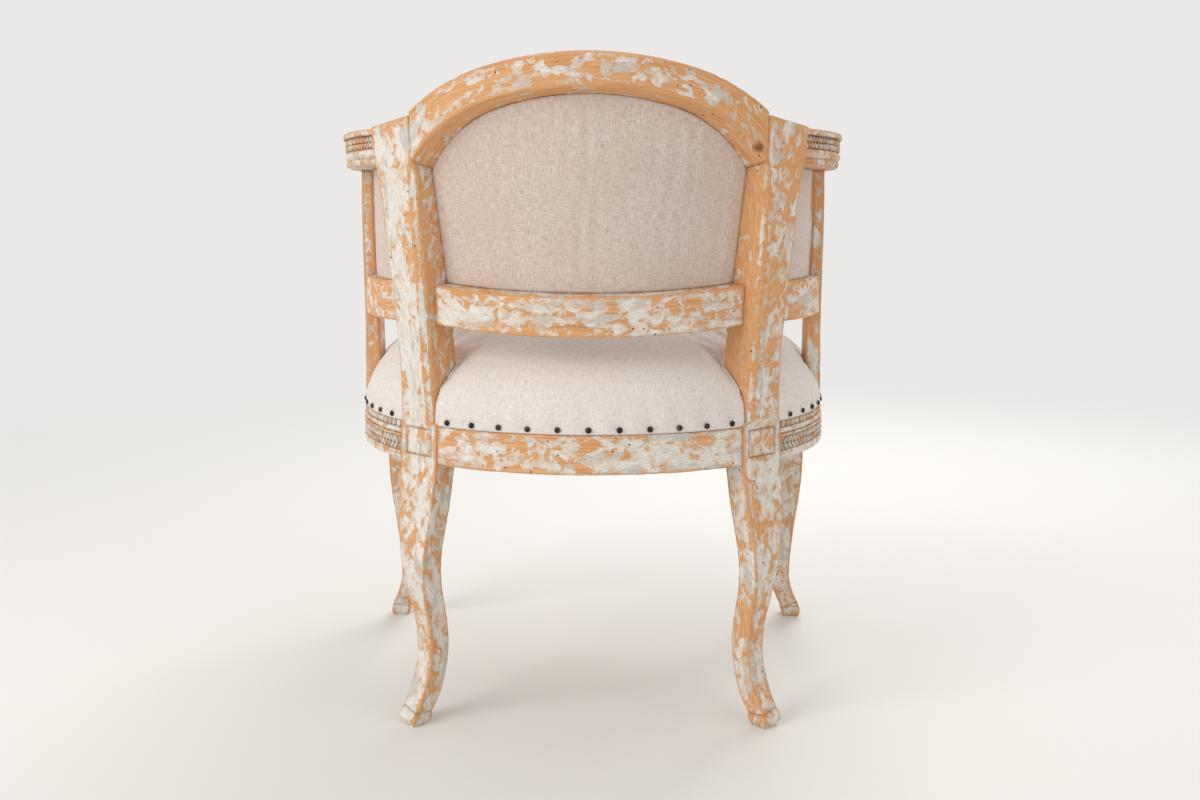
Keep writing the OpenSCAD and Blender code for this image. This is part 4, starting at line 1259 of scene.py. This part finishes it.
def strained(piece, pinned, pressure, limit, frames=20):
    """Lets a cover swell as cloth on its stuffing: pinned points stay, and no
    other moves more than limit metres from where it was cut."""
    start = points_of(piece.data)
    group = piece.vertex_groups.new(name="pins")
    group.add([int(i) for i in pinned], 1.0, "REPLACE")
    mod = piece.modifiers.new("cloth", "CLOTH")
    for key, value in (("quality", 4), ("mass", 0.3), ("tension_stiffness", 12),
                       ("compression_stiffness", 12), ("bending_stiffness", 0.6),
                       ("use_pressure", True), ("uniform_pressure_force", pressure),
                       ("vertex_group_mass", "pins")):
        setattr(mod.settings, key, value)
    mod.settings.effector_weights.gravity = 0
    mod.collision_settings.use_collision = False
    scene.frame_start, scene.frame_end = 1, frames
    for number in range(1, frames + 1):
        scene.frame_set(number)
    settled = as_shown(piece)
    move = points_of(settled) - start
    far = np.linalg.norm(move, axis=1, keepdims=True)
    move *= np.minimum(1, limit / np.maximum(far, 1e-9))
    piece.modifiers.remove(mod)
    piece.vertex_groups.clear()
    move_points(piece.data, start + move)
    bpy.data.meshes.remove(settled)
    scene.frame_set(1)


def in_mm(mesh):
    """The places of a mesh's points in the drawing's own millimetres."""
    return points_of(mesh) * 1000 - (0, y_shift, 0)


def move_in_mm(mesh, places):
    """Puts a mesh's points in new places of the drawing."""
    move_points(mesh, (places + (0, y_shift, 0)) / 1000)


def sheet_mesh(name, grid, cloth_place, closed):
    """A sheet of cloth from rows of places in millimetres, with the place of
    each point on the flat cloth as the attribute that the weave reads."""
    rows_n, n = grid.shape[:2]
    places = (grid.reshape(-1, 3) + (0, y_shift, 0)) / 1000
    wrap = n if closed else n - 1
    faces = [(j * n + i, (j + 1) * n + i, (j + 1) * n + (i + 1) % n, j * n + (i + 1) % n)
             for j in range(rows_n - 1) for i in range(wrap)]
    mesh = bpy.data.meshes.new(name)
    mesh.from_pydata(places.tolist(), [], faces)
    flat = np.column_stack([cloth_place.reshape(-1, 2) / 1000, np.zeros(rows_n * n)])
    tag(mesh, "cloth", flat)
    mesh.shade_smooth()
    return put(name, mesh)


run = np.zeros(cover_rings.shape[:2])
run[1:] = np.cumsum(np.linalg.norm(np.diff(cover_rings, axis=0), axis=2), axis=0)
direction = np.column_stack([np.sin(turns), np.cos(turns)])
run += np.linalg.norm(cover_rings[0, :, :2] - seat_mid, axis=1)
seat = sheet_mesh("seat_linen_cover", cover_rings, direction[None] * run[..., None], True)
ring_n = len(rim)
with reworked(seat.data) as work:
    work.verts.ensure_lookup_table()
    work.faces.new([work.verts[i] for i in range(ring_n)])
    bmesh.ops.triangulate(work, faces=[f for f in work.faces if len(f.verts) > 4])
    bmesh.ops.recalc_face_normals(work, faces=work.faces)
pins = [k * ring_n + i for k in range(skirt, len(cover_rings)) for i in range(ring_n)]
pins += [(skirt - 1) * ring_n + i for i in range(ring_n) if is_cut[i]]
strained(seat, pins, 4, 0.007)

nail_d, nail_pitch, nail_z = 7, 36, cover_z + 6
nail_angle = nail_pitch / seat_r
face_r = seat_r - 5 + 0.6 + 2
rear_half = int((post_az - math.radians(8)) / nail_angle)
side_first = math.ceil((post_az + math.radians(9)) / nail_angle)


def nails_round(first, last):
    """Nail places round the seat's circle, numbered from its middle."""
    return [(*on_circle(face_r, k * nail_angle), nail_z) for k in range(first, last + 1)]


nail_lines = [nails_round(-rear_half, rear_half)]
side_nails = nails_round(side_first, int(math.pi / 2 / nail_angle))
straight_nails = [(face_r, -y, nail_z)
                  for y in np.arange(nail_pitch / 2, 146 + front_block - 12, nail_pitch)]
for line in (side_nails, straight_nails):
    nail_lines += [line, [(-x, y, z) for x, y, z in line[::-1]]]
nail_lines.append([(x, front_y + seat_r - face_r - front_bow * (1 - (x / front_x) ** 2), nail_z)
                   for x in np.arange(-front_x + 8, front_x, nail_pitch)][::-1])
nails = np.array([p for line in nail_lines for p in line])

# the cover scallops between its nails, and lies a little unevenly
co = in_mm(seat.data)
flat_co = co[:, :2]
away = np.linalg.norm(flat_co[:, None, :] - nails[None, :, :2], axis=2)
closest = np.argmin(away, axis=1)
gap_to = away[np.arange(len(co)), closest]
above = co[:, 2] - nail_z
out_dir = flat_co - seat_mid
out_dir /= np.maximum(np.linalg.norm(out_dir, axis=1, keepdims=True), 1e-6)
on_edge = np.exp(-(np.maximum(above, 0) / 26) ** 2)
pull = np.cos(np.minimum(gap_to / (nail_pitch / 2), 1) * math.pi) * on_edge
pull += 0.8 * np.exp(-(gap_to / 5) ** 2) * np.exp(-(above / 7) ** 2)
for i in range(len(co)):
    p = Vector(co[i])
    pull[i] += 0.5 * noise.noise(p / 46) + 0.25 * noise.noise(p / 15)
held = np.clip((co[:, 2] - cover_z) / 8, 0.15, 1)
co[:, :2] -= out_dir * (pull * held)[:, None]
for i in range(len(co)):
    if co[i, 2] > 400:
        co[i, 2] += 1.3 * noise.noise(Vector(co[i]) / 70)
post_gap = np.maximum(np.abs(np.abs(co[:, 0]) - (post_out - 10)) - 11,
                      np.abs(co[:, 1] - (post_y - post_d / 2)) - 20)
tuck = 6 * np.exp(-(np.maximum(post_gap, 0) / 9) ** 2) * np.clip((co[:, 2] - 384) / 26, 0, 1)
stile_gap = np.full(len(co), 1e3)
for way in (1, -1):
    x, y, z = to_block(co * (way, 1, 1)).T
    gap = np.maximum(np.maximum(-x, x - block_w), -stile_t - y) + 1e3 * (y > 6)
    stile_gap = np.minimum(stile_gap, gap)
tuck += 6 * np.exp(-(np.maximum(stile_gap, 0) / 8) ** 2) * np.clip((co[:, 2] - 385) / 30, 0, 1)
co[:, 2] -= tuck
move_in_mm(seat.data, co)

# the linen is slit where an arm post passes through it
with reworked(seat.data) as work:
    within = []
    for face in work.faces:
        spots = [np.array(v.co) * 1000 - (0, y_shift, 0) for v in face.verts]
        if all(post_out - 16 < abs(x) < post_out + 1 and z > rail_top + 4
               and post_y - post_d + 1.5 < y < post_y - 1.5 for x, y, z in spots):
            within.append(face)
    bmesh.ops.delete(work, geom=within, context="FACES")
thicken(seat, 0.0014)
seat_linen = linen("natural_linen_seat", "#EAE2DC", "#D3C8BF", "#AFA297")
settle(seat, "seat_linen", seat_linen, "seat_cover")

hair, tree, shader = material("curled_hair_stuffing", Roughness=0.95)
spot = add(tree, "ShaderNodeTexCoord").outputs["Object"]
curls = add(tree, "ShaderNodeTexNoise", {"Vector": spot, "Scale": 1000 / 9, "Detail": 6,
                                         "Distortion": 3}).outputs[0]
tree.links.new(mixed(tree, curls, "#4B3A28", "#9C8768"), shader.inputs["Base Color"])
emboss(tree, shader, curls, 0.003)

hessian_top = rail_top + 2 * (1.8 + 0.3) + 1.2 + 0.3
heap = []
for q in [1 - (1 - k / 20) ** 1.5 for k in range(1, 21)]:
    places = push_clear(seat_mid + (plan_ring(q) - seat_mid) * 0.965, 6)
    z = np.maximum(dome_height(places, 12) - 4 * q, hessian_top + 3 * (1 - q) + 1)
    heap.append(np.column_stack([places, z]))
base = heap[-1].copy()
base[:, 2] = hessian_top
heap = np.array([base] + heap[::-1])
unmarked = np.zeros(heap.shape[:2])
stuffing = skin("seat_hair_stuffing", heap, unmarked, unmarked, heap)
settle(stuffing, "stuffing", hair, "seat_stuffing")

# --------------------------------------------------------------------- nails
# Hand-forged iron tacks with domed heads, blued dark and a little rusty. One
# head is repeated along each line of the cover's lower edge.

iron, tree, shader = material("blued_forged_iron", Metallic=0.75)
spot = add(tree, "ShaderNodeTexCoord").outputs["Object"]
rust = add(tree, "ShaderNodeTexNoise", {"Vector": spot, "Scale": 1000 / 12,
                                        "Detail": 4}).outputs[0]
tint = mixed(tree, spread(tree, rust, 0.5, 0.62), "#2E2926", "#6A4A36")
tree.links.new(tint, shader.inputs["Base Color"])
tree.links.new(spread(tree, rust, 0, 1, 0.32, 0.6), shader.inputs["Roughness"])
emboss(tree, shader, rust, 0.0004, 0.5)

# one head repeated along each line of the frame, from the same rows tree
dome_places, dome_faces = bead(nail_d, nail_d, 2.7, 0.0, 16, 5)
head_mesh = bpy.data.meshes.new("nail_head")
head_mesh.from_pydata([(x / 1000, (y + 0.2) / 1000, z / 1000) for x, y, z in dome_places], [],
                      dome_faces + [tuple(range(16))])
head = put("nail_head", head_mesh)
nail_rows = []
for number, line in enumerate(nail_lines):
    step = np.linalg.norm(np.diff(np.array(line), axis=0), axis=1).mean()
    nail_rows.append(row_of("nail_row", line, head, 0.995 * step, iron, 0.04, 11 + number))
nail_heads = joined(*nail_rows)
nail_heads.name = nail_heads.data.name = "seat_nail_heads"
bpy.data.objects.remove(head)
settle(nail_heads, "nails", iron, "seat_nails")

# ------------------------------------------------------------- back linen
# A panel of the same linen, set in the frame's opening and pulled tight over
# a hidden canvas, and a padded panel in front of the frame for the sitter.

sheet_inset, sheet_lean, pad_lean = 21, 29.6, 5.58
rail_up = back_rail_z + low_rail_h
back_rise = crest_w - rail_up


def sheet_at(w):
    """Radius of the outer linen's face at a height up the lean."""
    return back_rail_r - sheet_inset + sheet_lean / back_rise * (w - rail_up)


def soffit_at(angle, radius):
    """Height of the crest rail's underside over a place in plan, up the lean."""
    x, y = on_circle(radius, angle, back_rail_c)
    r, a = math.hypot(x, y - crest_c), math.atan2(x, y - crest_c)
    corners = crest_corners(a)[:3]
    return float(np.interp(r, corners[:, 0], corners[:, 1]))


def clear_edge(angle, w):
    """How far a place on the linen is outside the stile."""
    spot = leaned(np.array([[*on_circle(sheet_at(w), angle, back_rail_c), w]]))
    return outside_stile(spot)[0]


def edge_angle(w):
    """The angle at which the linen meets the stile at a height."""
    low, high = 0.3, 0.9
    for _ in range(16):
        mid = (low + high) / 2
        low, high = (mid, high) if clear_edge(mid, w) > 0.4 else (low, mid)
    return low


edge_heights = np.linspace(rail_up, crest_w, 40)
edge_angles = np.array([edge_angle(w) for w in edge_heights])
grid, cloth_place = [], []
columns, lines_up = 100, 70
for j in range(lines_up + 1):
    v = j / lines_up
    row, row_cloth = [], []
    for i in range(columns + 1):
        u = 2 * i / columns - 1
        w = rail_up + 120
        for _ in range(4):
            a = u * np.interp(w, edge_heights, edge_angles)
            w = rail_up + 0.4 + v * (soffit_at(a, sheet_at(w)) - 0.4 - rail_up)
        radius = sheet_at(w) - 1.2 * (1 - abs(u) ** 4) * (1 - abs(2 * v - 1) ** 4)
        row.append((*on_circle(radius, a, back_rail_c), w))
        row_cloth.append((radius * a, w))
    grid.append(row)
    cloth_place.append(row_cloth)
grid, cloth_place = leaned(np.array(grid)), np.array(cloth_place)
back_sheet = sheet_mesh("back_linen_panel", grid[:, ::-1], cloth_place[:, ::-1], False)
edge = [j * (columns + 1) + i for j in range(lines_up + 1) for i in range(columns + 1)
        if j in (0, lines_up) or i in (0, columns)]
strained(back_sheet, edge, 2.5, 0.004, 14)
thicken(back_sheet, 0.0012)
back_linen = linen("natural_linen_back", "#DCCDC2", "#BDA999", "#94816F")
settle(back_sheet, "back_linen", back_linen, "back_outer_cover")

inside_linen = linen("natural_linen_inside", "#DCCDBF", "#C2B0A1", "#97857A")


def stuffed(name, node_name, centre_y, is_leaned, limit_r):
    """A padded panel: the solid's shape, swollen as cloth and faced with linen.
    limit_r gives its largest radius from a height and an angle."""
    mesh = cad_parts[node_name].data.copy()
    piece = put(name, mesh)
    with reworked(mesh) as work:
        bmesh.ops.remove_doubles(work, verts=work.verts, dist=1e-5)
    for key in [a.name for a in mesh.attributes if not (a.is_internal or a.is_required)]:
        mesh.attributes.remove(mesh.attributes[key])
    mesh.remesh_voxel_size = 0.006
    mesh.remesh_voxel_adaptivity = 0
    with bpy.context.temp_override(active_object=piece, object=piece):
        bpy.ops.object.voxel_remesh()
    soft = piece.modifiers.new("soft", "SMOOTH")
    soft.factor, soft.iterations = 0.5, 6
    piece.data = mesh = as_shown(piece)
    piece.modifiers.clear()
    strained(piece, [], 4, 0.009, 16)
    local = in_mm(mesh)
    if is_leaned:
        y, z = local[:, 1].copy(), local[:, 2] - lean_z
        local[:, 1] = y * math.cos(rake) - z * math.sin(rake)
        local[:, 2] = y * math.sin(rake) + z * math.cos(rake)
    rel_y = local[:, 1] - centre_y
    radius = np.hypot(local[:, 0], rel_y)
    most_r = limit_r(local[:, 2], np.abs(np.arctan2(local[:, 0], rel_y)))
    squeeze = np.minimum(1, most_r / radius)
    local[:, 0] *= squeeze
    local[:, 1] = centre_y + rel_y * squeeze
    flat = [radius * np.arctan2(local[:, 0], rel_y), local[:, 2], np.zeros(len(local))]
    tag(mesh, "cloth", np.column_stack(flat) / 1000)
    move_in_mm(mesh, leaned(local) if is_leaned else local)
    mesh.name = name
    mesh.shade_smooth()
    finer = piece.modifiers.new("finer", "SUBSURF")
    finer.levels = finer.render_levels = 1
    settle(piece, "inside_linen", inside_linen, node_name)


def pad_limit(w, angle):
    """The radius of the back pad's rear face at a height up the lean."""
    return back_rail_r - low_rail_t - 0.8 + pad_lean / back_rise * (w - rail_up)


stuffed("back_inside_pad", "back_pad", back_rail_c, True, pad_limit)

# ------------------------------------------------------------- side linen
# Small panels of linen between stile and post under each arm, with a thin
# pad inside. The upper front corner is cut round and stands off the post.

panel_r, panel_c = seat_r - 12, 20
post_r = math.hypot(post_out - 17.5, post_y - panel_c)


def eased_in(radius, angle):
    """The panel's radius at an angle: it draws in to end behind the post."""
    u = np.clip((np.asarray(angle) - math.radians(50)) / math.radians(30), 0, 1)
    return radius + (post_r - radius) * u ** 2


sheet_low, sheet_high = side_rail_z + low_rail_h + 2.3, arm_under - 0.5
grid, cloth_place = [], []
columns, lines_up = 34, 36
for j in range(lines_up + 1):
    v = j / lines_up
    z = sheet_low + (sheet_high - sheet_low) * v
    radius = panel_r + 8 * v - 0.3
    angles = np.radians(np.arange(38, 90, 0.1))
    places = np.column_stack([radius * np.sin(angles), panel_c + radius * np.cos(angles),
                              np.full(len(angles), z)])
    past = (outside_stile(places) > 0.3) & (to_block(places)[:, 0] > stile_out - stile_t)
    first, last = angles[past][0], angles[places[:, 1] > post_y + 0.6][-1]
    row, row_cloth = [], []
    for i in range(columns + 1):
        u = i / columns
        a = first + (last - first) * u
        tight = (1 - abs(2 * u - 1) ** 3) * (1 - abs(2 * v - 1) ** 3)
        r = eased_in(radius + tight, a)
        row.append((*on_circle(r, a, panel_c), z))
        row_cloth.append((r * a, z))
    grid.append(row)
    cloth_place.append(row_cloth)
side_sheet = sheet_mesh("side_linen_panel_left", np.array(grid), np.array(cloth_place), False)
side_sheet_right = other_side(side_sheet, "side_linen_panel_right")
for piece, way in ((side_sheet, "left"), (side_sheet_right, "right")):
    thicken(piece, 0.0012)
    settle(piece, "back_linen", back_linen, "side_outer_cover_" + way)


def side_limit(z, angle):
    """The radius of a side pad's outer face at a height and an angle."""
    return eased_in(panel_r + 8 * (z - sheet_low) / (sheet_high - sheet_low), angle) - 2.4


for way in ("left", "right"):
    stuffed("side_inside_pad_" + way, "side_pad_" + way, panel_c, False, side_limit)

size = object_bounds()
